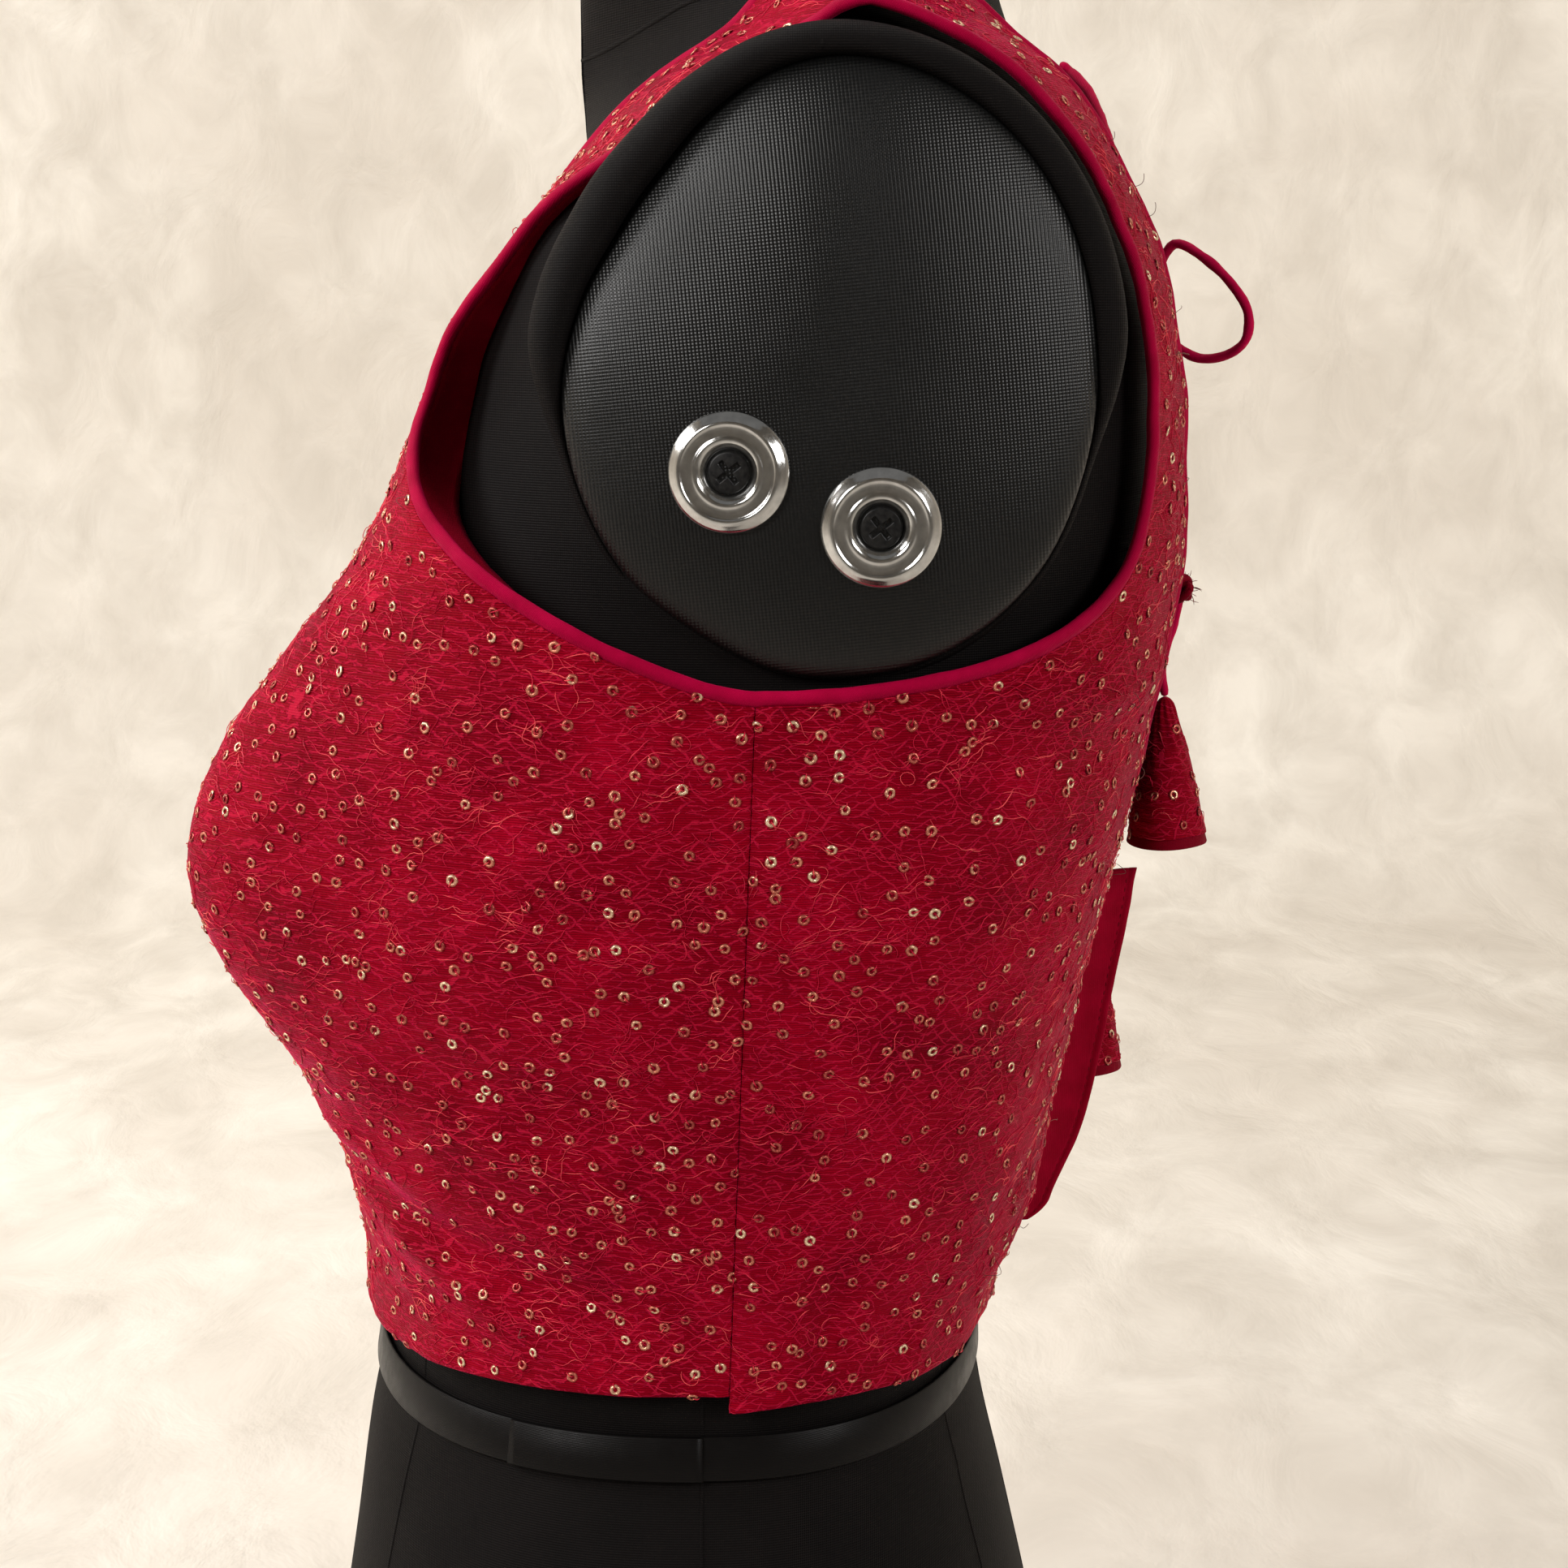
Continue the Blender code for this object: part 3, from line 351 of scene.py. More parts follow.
def along_line(line, closed):
    """Direction of a line at each of its points."""
    if closed:
        return unit(np.roll(line, -1, axis=0) - np.roll(line, 1, axis=0))
    return unit(np.gradient(line, axis=0))


def facing_out(faces, side):
    """Faces of a piece made for the left side, turned over on the right."""
    return faces if side > 0 else [f[::-1] for f in faces]


def rounded(share):
    """Quarter of a circle that rises from 0 to 1."""
    return np.sqrt(np.clip(1 - (1 - np.clip(share, 0, 1)) ** 2, 0, 1))


def between(t, step, values, slope, i):
    """Cubic from value i to the next, with their slopes."""
    return ((2 * t**3 - 3 * t**2 + 1) * values[i] + (t**3 - 2 * t**2 + t) * step * slope[i]
            + (3 * t**2 - 2 * t**3) * values[i + 1] + (t**3 - t**2) * step * slope[i + 1])


def slopes(knots, values):
    """Slope at each knot that keeps the curve between its knots' values."""
    rate = np.diff(values, axis=0) / np.diff(knots).reshape(-1, *[1] * (values.ndim - 1))
    out = np.zeros_like(values)
    out[0], out[-1] = rate[0], rate[-1]
    product = rate[:-1] * rate[1:]
    out[1:-1] = np.where(product > 0, 2 * product / np.where(product > 0, rate[:-1] + rate[1:], 1.0), 0.0)
    return out


def eased(table, at):
    """Smooth value of a two-column table."""
    knots, values = np.array(table, float).T
    slope = slopes(knots, values)
    at = np.clip(at, knots[0], knots[-1])
    i = np.clip(np.searchsorted(knots, at, side="right") - 1, 0, len(knots) - 2)
    step = knots[i + 1] - knots[i]
    return between((at - knots[i]) / step, step, values, slope, i)


# The figure: rounded sections up the torso with a bust, for the bare form and for
# the inside of the blouse.  Columns: height, half width, front y, back y, y of
# the widest line, roundness of the front and of the back.
FORM_SECTIONS = np.array([
    (-230, 158, -102, 116, 6, 2.30, 2.3), (-195, 166, -111, 124, 6, 2.30, 2.3),
    (-150, 165, -112, 122, 6, 2.30, 2.3), (-100, 154, -107, 112, 6, 2.30, 2.3),
    (-60, 139, -101, 103, 7, 2.30, 2.3), (-25, 125, -96, 95, 8, 2.30, 2.3),
    (0, 118, -91, 92, 10, 2.30, 2.3), (30, 117, -89, 96, 13, 2.30, 2.4),
    (70, 124, -91, 104, 17, 2.40, 2.6), (120, 135, -89, 114, 21, 2.50, 2.7),
    (170, 144, -86, 125, 25, 2.60, 2.8), (215, 149, -80, 133, 29, 2.70, 2.9),
    (250, 152, -68, 137, 34, 2.80, 2.9), (280, 154, -56, 137, 39, 2.90, 2.9),
    (305, 155, -45, 134, 42, 3.00, 3.0), (325, 155, -35.5, 127, 45, 2.80, 3.0),
    (345, 153, -25, 118, 48, 2.15, 2.8), (362, 148, -25, 110, 50, 1.40, 2.2),
    (376, 135, -26, 104, 50, 1.05, 1.6), (387, 106, -26, 99, 46, 1.15, 1.5),
    (398, 79, -26, 95, 41, 1.50, 1.7), (412, 63, -26, 91, 36, 2.00, 2.0),
    (435, 57, -25, 87, 33, 2.00, 2.0), (475, 55, -25, 84, 31, 2.00, 2.0)])
BLOUSE_SECTIONS = np.array([
    (0, 123, -95, 102, 10, 2.30, 2.3), (30, 122, -94, 105, 13, 2.30, 2.4),
    (70, 129, -97, 112, 17, 2.40, 2.6), (120, 140, -96, 121, 21, 2.50, 2.7),
    (170, 149, -92, 132, 25, 2.60, 2.8), (215, 154, -87, 141, 29, 2.90, 2.9),
    (250, 157, -74, 145, 34, 3.60, 2.9), (280, 159, -62, 144, 39, 4.60, 2.9),
    (305, 160, -51, 140, 42, 5.00, 3.0), (325, 159, -37, 134, 45, 4.50, 3.0),
    (345, 157, -26, 125, 48, 2.50, 2.8), (362, 153, -20, 117, 50, 1.75, 2.3),
    (376, 145, -15, 111, 50, 1.20, 1.7), (390, 120, -13, 108, 46, 1.20, 1.6),
    (405, 91, -12, 104, 41, 1.60, 1.8)])
BUST_HEIGHT, BUST_APART, BUST_RAMP = 160.0, 86.0, 60.0
# The bust's reach forward, then its half widths inward, outward, above and below.
FORM_BUST = (41.0, 46.0, 44.0, 64.0, 60.0)
BLOUSE_BUST = (48.0, 50.0, 46.0, 65.0, 63.0)


class Figure:
    def __init__(self, sections, bust, pads=()):
        self.heights, self.values, self.swell, self.pads = sections[:, 0], sections[:, 1:], bust, pads
        step = np.diff(self.heights)[:, None]
        rate = np.diff(self.values, axis=0) / step
        inside = (rate[:-1] * step[1:] + rate[1:] * step[:-1]) / (step[1:] + step[:-1])
        self.slope = np.vstack([rate[:1], inside, rate[-1:]])

    def section(self, height):
        height = np.clip(height, self.heights[0], self.heights[-1])
        i = np.clip(np.searchsorted(self.heights, height) - 1, 0, len(self.heights) - 2)
        step = self.heights[i + 1] - self.heights[i]
        t = ((height - self.heights[i]) / step)[..., None]
        return np.moveaxis(between(t, step[..., None], self.values, self.slope, i), -1, 0)

    def bust(self, x, height):
        forward, inward, outward, above, below = self.swell
        total = 0.0
        for side in (1, -1):
            across, up = side * x - BUST_APART, height - BUST_HEIGHT
            total = total + np.exp(-(across / np.where(across > 0, outward, inward)) ** 2
                                   - (up / np.where(up > 0, above, below)) ** 2)
        total = forward * total
        for out, across, up, wide, tall in self.pads:
            total = total + out * np.exp(-((np.abs(x) - across) / wide) ** 2 - ((height - up) / tall) ** 2)
        return total

    def level(self, p):
        x, y, height = p[..., 0], p[..., 1], p[..., 2]
        wide, front, back, middle, front_round, back_round = self.section(height)
        ramp = np.clip((middle + 15 - y) / BUST_RAMP, 0, 1)
        ahead = y + self.bust(x, height) * ramp * ramp * (3 - 2 * ramp) - middle
        depth = np.where(ahead < 0, middle - front, back - middle)
        power = np.where(ahead < 0, front_round, back_round)
        return (np.abs(x / wide) ** power + np.abs(ahead / depth) ** power) ** (1 / power) - 1

    def gradient(self, p, e=0.5):
        return np.stack([(self.level(p + e * v) - self.level(p - e * v)) / (2 * e) for v in np.eye(3)], -1)

    def normal(self, p):
        return unit(self.gradient(p))

    def hit(self, origin, direction, gap=0.0, far=420.0):
        """First points along rays from inside that lie gap outside the skin."""
        low, high = np.full(origin.shape[:-1], 2.0), np.full(origin.shape[:-1], far)
        for _ in range(28):
            middle = (low + high) / 2
            at = origin + middle[..., None] * direction
            value = self.level(at)
            if gap:
                value = value / np.maximum(np.linalg.norm(self.gradient(at), axis=-1), 1e-6) - gap
            low, high = np.where(value < 0, middle, low), np.where(value < 0, high, middle)
        return origin + low[..., None] * direction


# Soft padding behind the front of each strap: forward, off the middle, height, half width, half height.
FORM_PADS = ((6.5, 116.0, 330.0, 22.0, 22.0), (4.0, 84.0, 302.0, 30.0, 20.0))
FORM = Figure(FORM_SECTIONS, FORM_BUST, FORM_PADS)
BLOUSE = Figure(BLOUSE_SECTIONS, BLOUSE_BUST)


# Cloth panels.

FRONT_STEPS = (-195, -182, 0, 8.6, 98)
BACK_STEPS = (-197, -184, -60, -54, 0, 82)
VEE_FOOT, BACK_NECK_FOOT = 8.6, -60
VEE_ANGLE, BACK_NECK_ANGLE = 90.0, 88.4      # where each panel's middle edge lies below its neck
NECK_TURN = (-60, -54)                       # steps over which the back's neck turns quickest
FOLD_DEPTH, HEM_TUCK = 1.4, 6.2
EDGE_PITCH = 2.6
FRONT_ARMHOLE = (
    (0, 0), (8, 3), (14, 8), (19, 17), (24, 28), (28, 35.5), (35, 43), (42, 47), (49, 48.5),
    (56, 48.5), (63, 48.2), (70, 48.2), (77, 48.8), (84, 49.6), (98, 50.4))
BACK_ARMHOLE = (
    (0, 0), (3, 10), (8, 24), (14, 34.5), (18, 38.5), (25, 42.5), (33, 45.3), (41, 47.6), (49, 49.1),
    (57, 50.4), (65, 51.4), (73.5, 51.4), (82, 50.4))
FRONT_NECK = (
    (8.6, 90), (14, 85), (20, 80.6), (33, 73), (49, 66.6), (65, 62.8), (81, 60.6), (98, 59.8))
BACK_NECK = (
    (-60, 88.4), (-58, 78), (-54, 70), (-47, 64), (-38, 60), (-27, 57.4), (-14, 55.6), (0, 54.9),
    (14, 55), (25, 55.8), (41, 57.6), (57, 59.3), (73.5, 60), (82, 59.8))
# Step, how far the front's neckline is drawn in to lie on the chest.
NECK_DRAW = (
    (-60, 0), (-20, -1.2), (8.6, -4.0), (14, -4.4), (24, -4.3), (49, -4.8), (56, -2.2), (62, -0.6),
    (70, -0.2), (98, 0))
# Folds: from angle and height, to angle and height, half width, depth (a minus
# sign is a trough).  The first rows are the part's own, the rest fine creases.
FRONT_LEFT_FOLDS = (
    (66, 80, 6, 38, 9, -2.2), (60, 92, 30, 62, 7, 1.3), (52, 62, 22, 28, 7, 1.4),
    (40, 118, 10, 96, 9, -1.2), (62, 68, 24, 40, 4, 0.7), (34, 104, 14, 84, 3.5, -0.7),
    (30, 96, 16, 78, 3, 0.5), (8, 150, 30, 168, 5, -0.6), (70, 52, 44, 30, 4, -0.6),
    (12, 60, 6, 30, 4, 0.6), (14, 196, 34, 186, 5, -0.6), (20, 72, 6, 60, 3.5, -0.6),
    (80, 60, 60, 40, 5, 0.6), (50, 40, 36, 24, 3.5, 0.5))
FRONT_RIGHT_FOLDS = (
    (58, 74, 10, 46, 10, -2.0), (64, 50, 34, 26, 8, 1.4), (46, 112, 14, 84, 8, -1.3),
    (60, 90, 26, 66, 4, 0.7), (36, 60, 14, 40, 4, -0.7), (10, 140, 28, 160, 5, -0.6),
    (74, 44, 50, 30, 4, 0.6), (12, 192, 30, 184, 5, -0.6), (24, 84, 8, 70, 3.5, 0.5),
    (14, 52, 6, 28, 4, -0.6), (52, 36, 38, 22, 4, 0.5))
BACK_LEFT_FOLDS = (
    (12, 206, 52, 194, 9, -1.9), (8, 22, 5, 66, 7, 1.9), (20, 190, 46, 172, 8, 1.2),
    (70, 88, 30, 54, 9, -1.4), (30, 208, 56, 214, 4, 0.8), (16, 198, 40, 186, 4, -0.7),
    (14, 60, 10, 20, 4, -0.9), (28, 40, 24, 18, 5, 0.7), (60, 120, 36, 96, 5, -0.6),
    (44, 150, 20, 138, 4, 0.5), (64, 60, 44, 36, 5, 0.7), (80, 110, 66, 84, 4, -0.5))
BACK_RIGHT_FOLDS = (
    (10, 200, 46, 184, 9, -1.7), (14, 24, 10, 74, 8, 1.7), (66, 104, 30, 78, 9, -1.3),
    (28, 204, 54, 208, 4, 0.7), (18, 188, 42, 174, 4, -0.7), (20, 52, 16, 20, 4, -0.8),
    (34, 42, 30, 18, 5, 0.7), (58, 132, 32, 110, 5, 0.6), (68, 66, 46, 40, 5, -0.6),
    (78, 92, 64, 70, 4, 0.5))
PLACES = np.array([0, 0.003, 0.008, 0.015, 0.025, 0.040, *np.linspace(0.06, 0.94, 46),
                   0.962, 0.978, 0.990, 1.0])


def fine_rows(steps):
    rows = [steps[0], steps[0] + 0.25, steps[0] + 0.9, steps[0] + 2.0, steps[0] + 4.0]
    for low, high in zip(steps, steps[1:]):
        pitch = 0.6 if (low, high) == NECK_TURN else 3.0 if low < 0 else 1.15
        count = max(1, math.ceil((high - low) / pitch))
        rows += [low + (high - low) * k / count for k in range(count)][1 if low == steps[0] else 0:]
    return np.unique(np.round(rows + [steps[-1] - 0.35, steps[-1]], 4))


def rays(step, angle, facing, side):
    """Origins and directions of grid points; facing is -1 front, +1 back."""
    step, angle = np.asarray(step, float), np.radians(angle)
    turn, drop = np.radians(np.maximum(step, 0.0)), np.minimum(step, 0.0)
    origin = UNDERARM + np.stack([0 * drop, 0.04 * drop, drop], -1)
    return origin, np.stack([side * np.cos(angle), facing * np.sin(angle) * np.cos(turn),
                             np.sin(angle) * np.sin(turn)], -1)


def fold_shift(points, folds, facing, side):
    """Signed height of the soft folds at each point."""
    shift = np.zeros(len(points))
    for angle_a, height_a, angle_b, height_b, spread, depth in folds:
        t = np.linspace(0, 1, 9)
        line = BLOUSE.hit(*rays(height_a + t * (height_b - height_a) - UNDERARM[2],
                                angle_a + t * (angle_b - angle_a), facing, side))
        start, run = line[:-1], np.diff(line, axis=0)
        away = points[:, None] - start
        t = np.clip((away * run).sum(-1) / (run * run).sum(-1), 0, 1)
        gap = np.linalg.norm(away - t[..., None] * run, axis=-1)
        nearest = gap.argmin(axis=1)
        along = (nearest + t[np.arange(len(points)), nearest]) / (len(line) - 1)
        fade = np.clip(np.minimum(along, 1 - along) * 4, 0.25, 1)
        shift += FOLD_DEPTH * depth * fade * np.exp(-(gap.min(axis=1) / spread) ** 2)
    return shift


def rumple(p, length, seed):
    """Soft unevenness of about one unit, the same on every run."""
    draw = np.random.default_rng(seed)
    total = 0.0
    for _ in range(9):
        way = unit(draw.normal(size=3) * (1.0, 1.0, 1.5)) * 2 * math.pi / (length * draw.uniform(0.7, 1.5))
        total = total + np.sin(p @ way + draw.uniform(0, 6.28))
    return total / 3.0


def half_panel(steps, armhole, neck, foot, closed_at, folds, facing, side):
    """Inner and outer points of one side of a panel, rows from hem to shoulder."""
    rows = fine_rows(steps)
    first = np.where(rows <= 0, 0.0, eased(armhole, rows))
    last = np.where(rows <= foot, closed_at, eased(neck, rows))
    angle = first[:, None] + (last - first)[:, None] * PLACES
    hem = np.clip((steps[1] - rows) / (steps[1] - steps[0]), 0, 1)[:, None]
    corner = 2.6 * np.exp(-(angle / 9.0) ** 2) * (facing > 0)
    step = rows[:, None] + hem * (2.4 * np.cos(np.radians(2 * angle)) - corner)
    origin, direction = rays(step, angle, facing, side)
    on_seam = (rows[:, None] <= 0) & (PLACES == 0)
    origin[..., 1] += facing * 0.08 * on_seam + facing * 0.08 * (rows[:, None] == rows[-1])
    inner = BLOUSE.hit(origin, direction)
    normal = BLOUSE.normal(inner)
    normal[:, 0, 1] = np.where(rows <= 0, 0.0, normal[:, 0, 1])
    normal = unit(normal)
    flat = inner.reshape(-1, 3)
    shift = fold_shift(flat, folds, facing, side).reshape(step.shape)
    edge = np.linalg.norm(inner - inner[:, :1], axis=-1)
    seam = np.where(step <= 2, 1.0, 0.0) * (
        0.40 * np.exp(-((edge - 4.2) / 2.2) ** 2) - 0.42 * np.exp(-(edge / 1.1) ** 2)
        + 0.30 * np.sin(inner[..., 2] / 1.15 + facing) * np.exp(-((edge - 3.0) / 4.0) ** 2))
    below_shoulder = (rows[-1] - rows)[:, None] * 2.6
    shoulder = (0.35 * np.exp(-((below_shoulder - 3.5) / 2.2) ** 2)
                - 0.5 * np.exp(-(below_shoulder / 1.4) ** 2))
    above_hem = rows - steps[0]
    ripple = np.exp(-np.maximum(above_hem, 0) / 22.0)[:, None] * 0.55 * rumple(inner * (1, 1, 0.2), 34.0, 5)
    fine = 0.10 * rumple(inner, 9.0, 3) + 0.30 * rumple(inner, 30.0, 4)
    calm = np.clip(np.minimum(np.abs(rows - foot) / 6 + (rows <= foot), 1.0), 0, 1)[:, None]
    shift = shift + seam + shoulder + (ripple + fine) * np.maximum(calm, 1 - PLACES**4)
    if facing < 0:
        shift = shift + np.interp(rows, *zip(*NECK_DRAW))[:, None] * PLACES**1.5
    if facing > 0:
        tuck = HEM_TUCK * np.exp(-(above_hem / 24.0) ** 2)[:, None]
        shift = shift - tuck * np.clip((angle - 12) / 40, 0, 1) ** 1.5
    middle = inner + (shift + WALL / 2)[..., None] * normal
    rim = np.minimum(np.minimum(rows - rows[0], 3.0)[:, None],
                     np.minimum(edge + 3.0 * (rows[:, None] > 0), 3.0))
    sewn = (edge < 3) & (rows[:, None] <= 0)
    half = WALL / 2 * (1 - np.where(sewn, 0.22, 0.5) * np.exp(-(rim / 0.45) ** 1.5))
    return middle - half[..., None] * normal, middle + half[..., None] * normal, normal, rows


def shell(name, halves, node, foot=None):
    """Closed cloth panel from one half, or from two halves joined up to the foot row."""
    outer, inner, quads, start = [], [], [], 0
    for number, (low, high, normal, rows) in enumerate(halves):
        count = low.shape[0] * low.shape[1]
        index = np.arange(count).reshape(low.shape[:2]) + start
        if number == 1:
            joined = rows <= foot
            index[joined, -1] = np.arange(count).reshape(low.shape[:2])[joined, -1]
        outer.append(high.reshape(-1, 3))
        inner.append(low.reshape(-1, 3))
        q = np.stack([index[:-1, :-1], index[:-1, 1:], index[1:, 1:], index[1:, :-1]], -1).reshape(-1, 4)
        facing_front = normal[0, -1, 1] < 0
        left = low[0, 0, 0] > 0
        quads.append(q if left != facing_front else q[:, ::-1])
        start += count
    outer, inner, quads = np.vstack(outer), np.vstack(inner), np.vstack(quads)
    total = len(outer)
    edges = np.concatenate([quads[:, [k, (k + 1) % 4]] for k in range(4)])
    key = edges[:, 0] * total + edges[:, 1]
    alone = edges[~np.isin(key, edges[:, 1] * total + edges[:, 0])]
    rim = np.stack([alone[:, 1], alone[:, 0], alone[:, 0] + total, alone[:, 1] + total], -1)
    faces = np.vstack([quads, quads[:, ::-1] + total, rim])
    points = np.vstack([outer, inner])
    used = np.unique(faces)
    renumber = np.zeros(len(points), int)
    renumber[used] = np.arange(len(used))
    made = piece(name, points[used], renumber[faces], [BROCADE, LINING],
                 second=np.arange(len(quads), 2 * len(quads)))
    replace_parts(made, node)
    return made, (outer, quads)


def halves_of(steps, armhole, neck, foot, closed_at, facing, both):
    out = [half_panel(steps, armhole, neck, foot, closed_at, folds, facing, side)
           for side, folds in zip((1, -1), both)]
    if facing < 0:
        for k in (0, 1):
            row = out[0][3] <= foot
            middle = (out[0][k][row, -1] + out[1][k][row, -1]) / 2
            middle[:, 0] = 0.0
            out[0][k][row, -1] = out[1][k][row, -1] = middle
    return out


front_halves = halves_of(FRONT_STEPS, FRONT_ARMHOLE, FRONT_NECK, VEE_FOOT, VEE_ANGLE, -1,
                         (FRONT_LEFT_FOLDS, FRONT_RIGHT_FOLDS))
back_halves = halves_of(BACK_STEPS, BACK_ARMHOLE, BACK_NECK, BACK_NECK_FOOT, BACK_NECK_ANGLE, 1,
                        (BACK_LEFT_FOLDS, BACK_RIGHT_FOLDS))
front, front_skin = shell("front_cloth", front_halves, "front", VEE_FOOT)
back_left, back_left_skin = shell("back_left_cloth", back_halves[:1], "back_left")
back_right, back_right_skin = shell("back_right_cloth", back_halves[1:], "back_right")


# Bindings.

def edge_line(half, column, first, last):
    """Middle of a cut edge with the cloth's normal, between two steps."""
    low, high, normal, rows = half
    keep = (rows >= first - 1e-6) & (rows <= last + 1e-6)
    return np.hstack([(low + high)[keep, column] / 2, normal[keep, column]])


def evened(line, pitch, closed):
    """The same line with points a pitch apart."""
    ends = np.vstack([line, line[:1]]) if closed else line
    far = np.concatenate([[0], np.cumsum(gaps(ends[:, :3]))])
    keep = np.concatenate([[True], np.diff(far) > 1e-6])
    far, ends = far[keep], ends[keep]
    count = max(8, round(far[-1] / pitch))
    at = np.linspace(0, far[-1], count + 1)[:-1] if closed else np.linspace(0, far[-1], count + 1)
    return np.stack([np.interp(at, far, ends[:, k]) for k in range(ends.shape[1])], -1)


def binding(name, line, turn, closed, node):
    """Rounded strip of plain cloth sewn over a cut edge."""
    count, sides = len(line), 14
    at, up = line[:, :3], unit(line[:, 3:])
    before = np.roll(at, 1, axis=0) if closed else np.vstack([at[:1], at[:-1]])
    after = np.roll(at, -1, axis=0) if closed else np.vstack([at[1:], at[-1:]])
    run_in, run_out = unit(at - before), unit(after - at)
    along = unit(run_in + run_out)
    out = unit(turn * np.cross(along, up))
    straight = np.where(np.linalg.norm(run_in, axis=1)[:, None] > 0, run_in, along)
    mitre = 1 / np.maximum(0.55, np.abs((along * straight).sum(-1)))
    length = np.arange(count) * 1.0
    plump = 1 + 0.05 * np.sin(length * 0.9) * np.sin(length * 0.23 + 1)
    a = circle(sides)
    wide = np.cos(a) * 2.05
    thick = np.sin(a) * 1.62 * (1 - 0.30 * np.exp(-((wide + 1.55) / 0.5) ** 2))
    centre = at + out * (1.72 * mitre)[:, None]
    points = (centre[:, None] + (wide * plump[:, None] * mitre[:, None])[..., None] * out[:, None]
              + (thick * plump[:, None])[..., None] * up[:, None])
    faces = (looped if closed else capped)(grid_quads(count, sides, True), count, sides)
    made = piece(name, points, faces, PIPING)
    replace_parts(made, node)
    return made


for side_name, side, front_half, back_half in (("left", 1, front_halves[0], back_halves[0]),
                                               ("right", -1, front_halves[1], back_halves[1])):
    loop = np.vstack([edge_line(front_half, 0, 0, FRONT_STEPS[-1]),
                      edge_line(back_half, 0, 0, BACK_STEPS[-1])[::-1][1:-1]])
    binding(f"armhole_piping_{side_name}", evened(loop, EDGE_PITCH, True), side, True,
                            f"armhole_binding_{side_name}")
back_neck = [edge_line(half, -1, BACK_NECK_FOOT, BACK_STEPS[-1]) for half in back_halves]
front_neck = [edge_line(half, -1, VEE_FOOT, FRONT_STEPS[-1]) for half in front_halves]
neck_parts = [back_neck[0], front_neck[0][::-1][1:], front_neck[1][1:], back_neck[1][::-1][1:]]
neck_line = [evened(np.vstack(part), EDGE_PITCH, False) for part in (neck_parts[:2], neck_parts[2:])]
binding("neck_piping", np.vstack(neck_line), 1, False, "neck_binding")


# Stitched threads and sequins.

def prism(paths, normals, widths, height):
    """Thin three-sided threads, one for each path, as one set of points and faces."""
    points, faces, start = [], [], 0
    for path, normal, width in zip(paths, normals, widths):
        along = unit(np.gradient(path, axis=0))
        across = unit(np.cross(along, normal))
        taper = np.ones(len(path))
        taper[[0, -1]] = 0.35
        w = (width / 2 * taper)[:, None]
        ring = np.stack([path - across * w, path + across * w, path + normal * (height * taper)[:, None]], 1)
        points.append(ring.reshape(-1, 3))
        faces += [tuple(q) for q in grid_quads(len(path), 3, True, start)]
        end = start + 3 * (len(path) - 1)
        faces += [(start + 2, start + 1, start), (end, end + 1, end + 2)]
        start += 3 * len(path)
    return np.vstack(points), faces


# Square millimetres of cloth for each thread, and for each sequin of a panel and of a latkan.
THREAD_SPACE, SEQUIN_SPACE, LATKAN_SEQUIN_SPACE = 33.0, 84.0, 74.0
SEQUIN_PROFILE = ((1.55, 0.14), (1.08, 0.46), (0.55, 0.20))      # radius and height off the cloth
SEQUIN_APART, SEQUIN_PAIR = 5.2, (2.7, 3.3)      # usual least distance, and that of two sewn as a pair
THREAD_GAP = 0.45      # furthest that a laid path may slip sideways off the panel


class Skin:
    """The outer side of a panel, to lay small things on."""

    def __init__(self, skin):
        points, quads = skin
        self.tree = BVHTree.FromPolygons(points.tolist(), quads.tolist())
        corner = points[quads]
        crossed = np.cross(corner[:, 2] - corner[:, 0], corner[:, 3] - corner[:, 1])
        self.normal = unit(crossed)
        self.area = np.linalg.norm(crossed, axis=1) / 2
        self.corner = corner

    def scatter(self, count):
        chosen = RNG.choice(len(self.area), count, p=self.area / self.area.sum())
        u, v = RNG.random((2, count, 1))
        c = self.corner[chosen]
        return ((1 - u) * (1 - v) * c[:, 0] + u * (1 - v) * c[:, 1] + u * v * c[:, 2] + (1 - u) * v * c[:, 3],
                self.normal[chosen])

    def lay(self, path):
        """Points and normals of a path on the skin, up to where it would leave the panel."""
        on, normals = [], []
        for p in path:
            at, normal, _, _ = self.tree.find_nearest(p)
            if at is None:
                break
            away = np.array(p) - np.array(at)
            normal = np.array(normal)
            if np.linalg.norm(away - (away @ normal) * normal) > THREAD_GAP:
                break
            on.append(at)
            normals.append(normal)
        return np.array(on), np.array(normals)


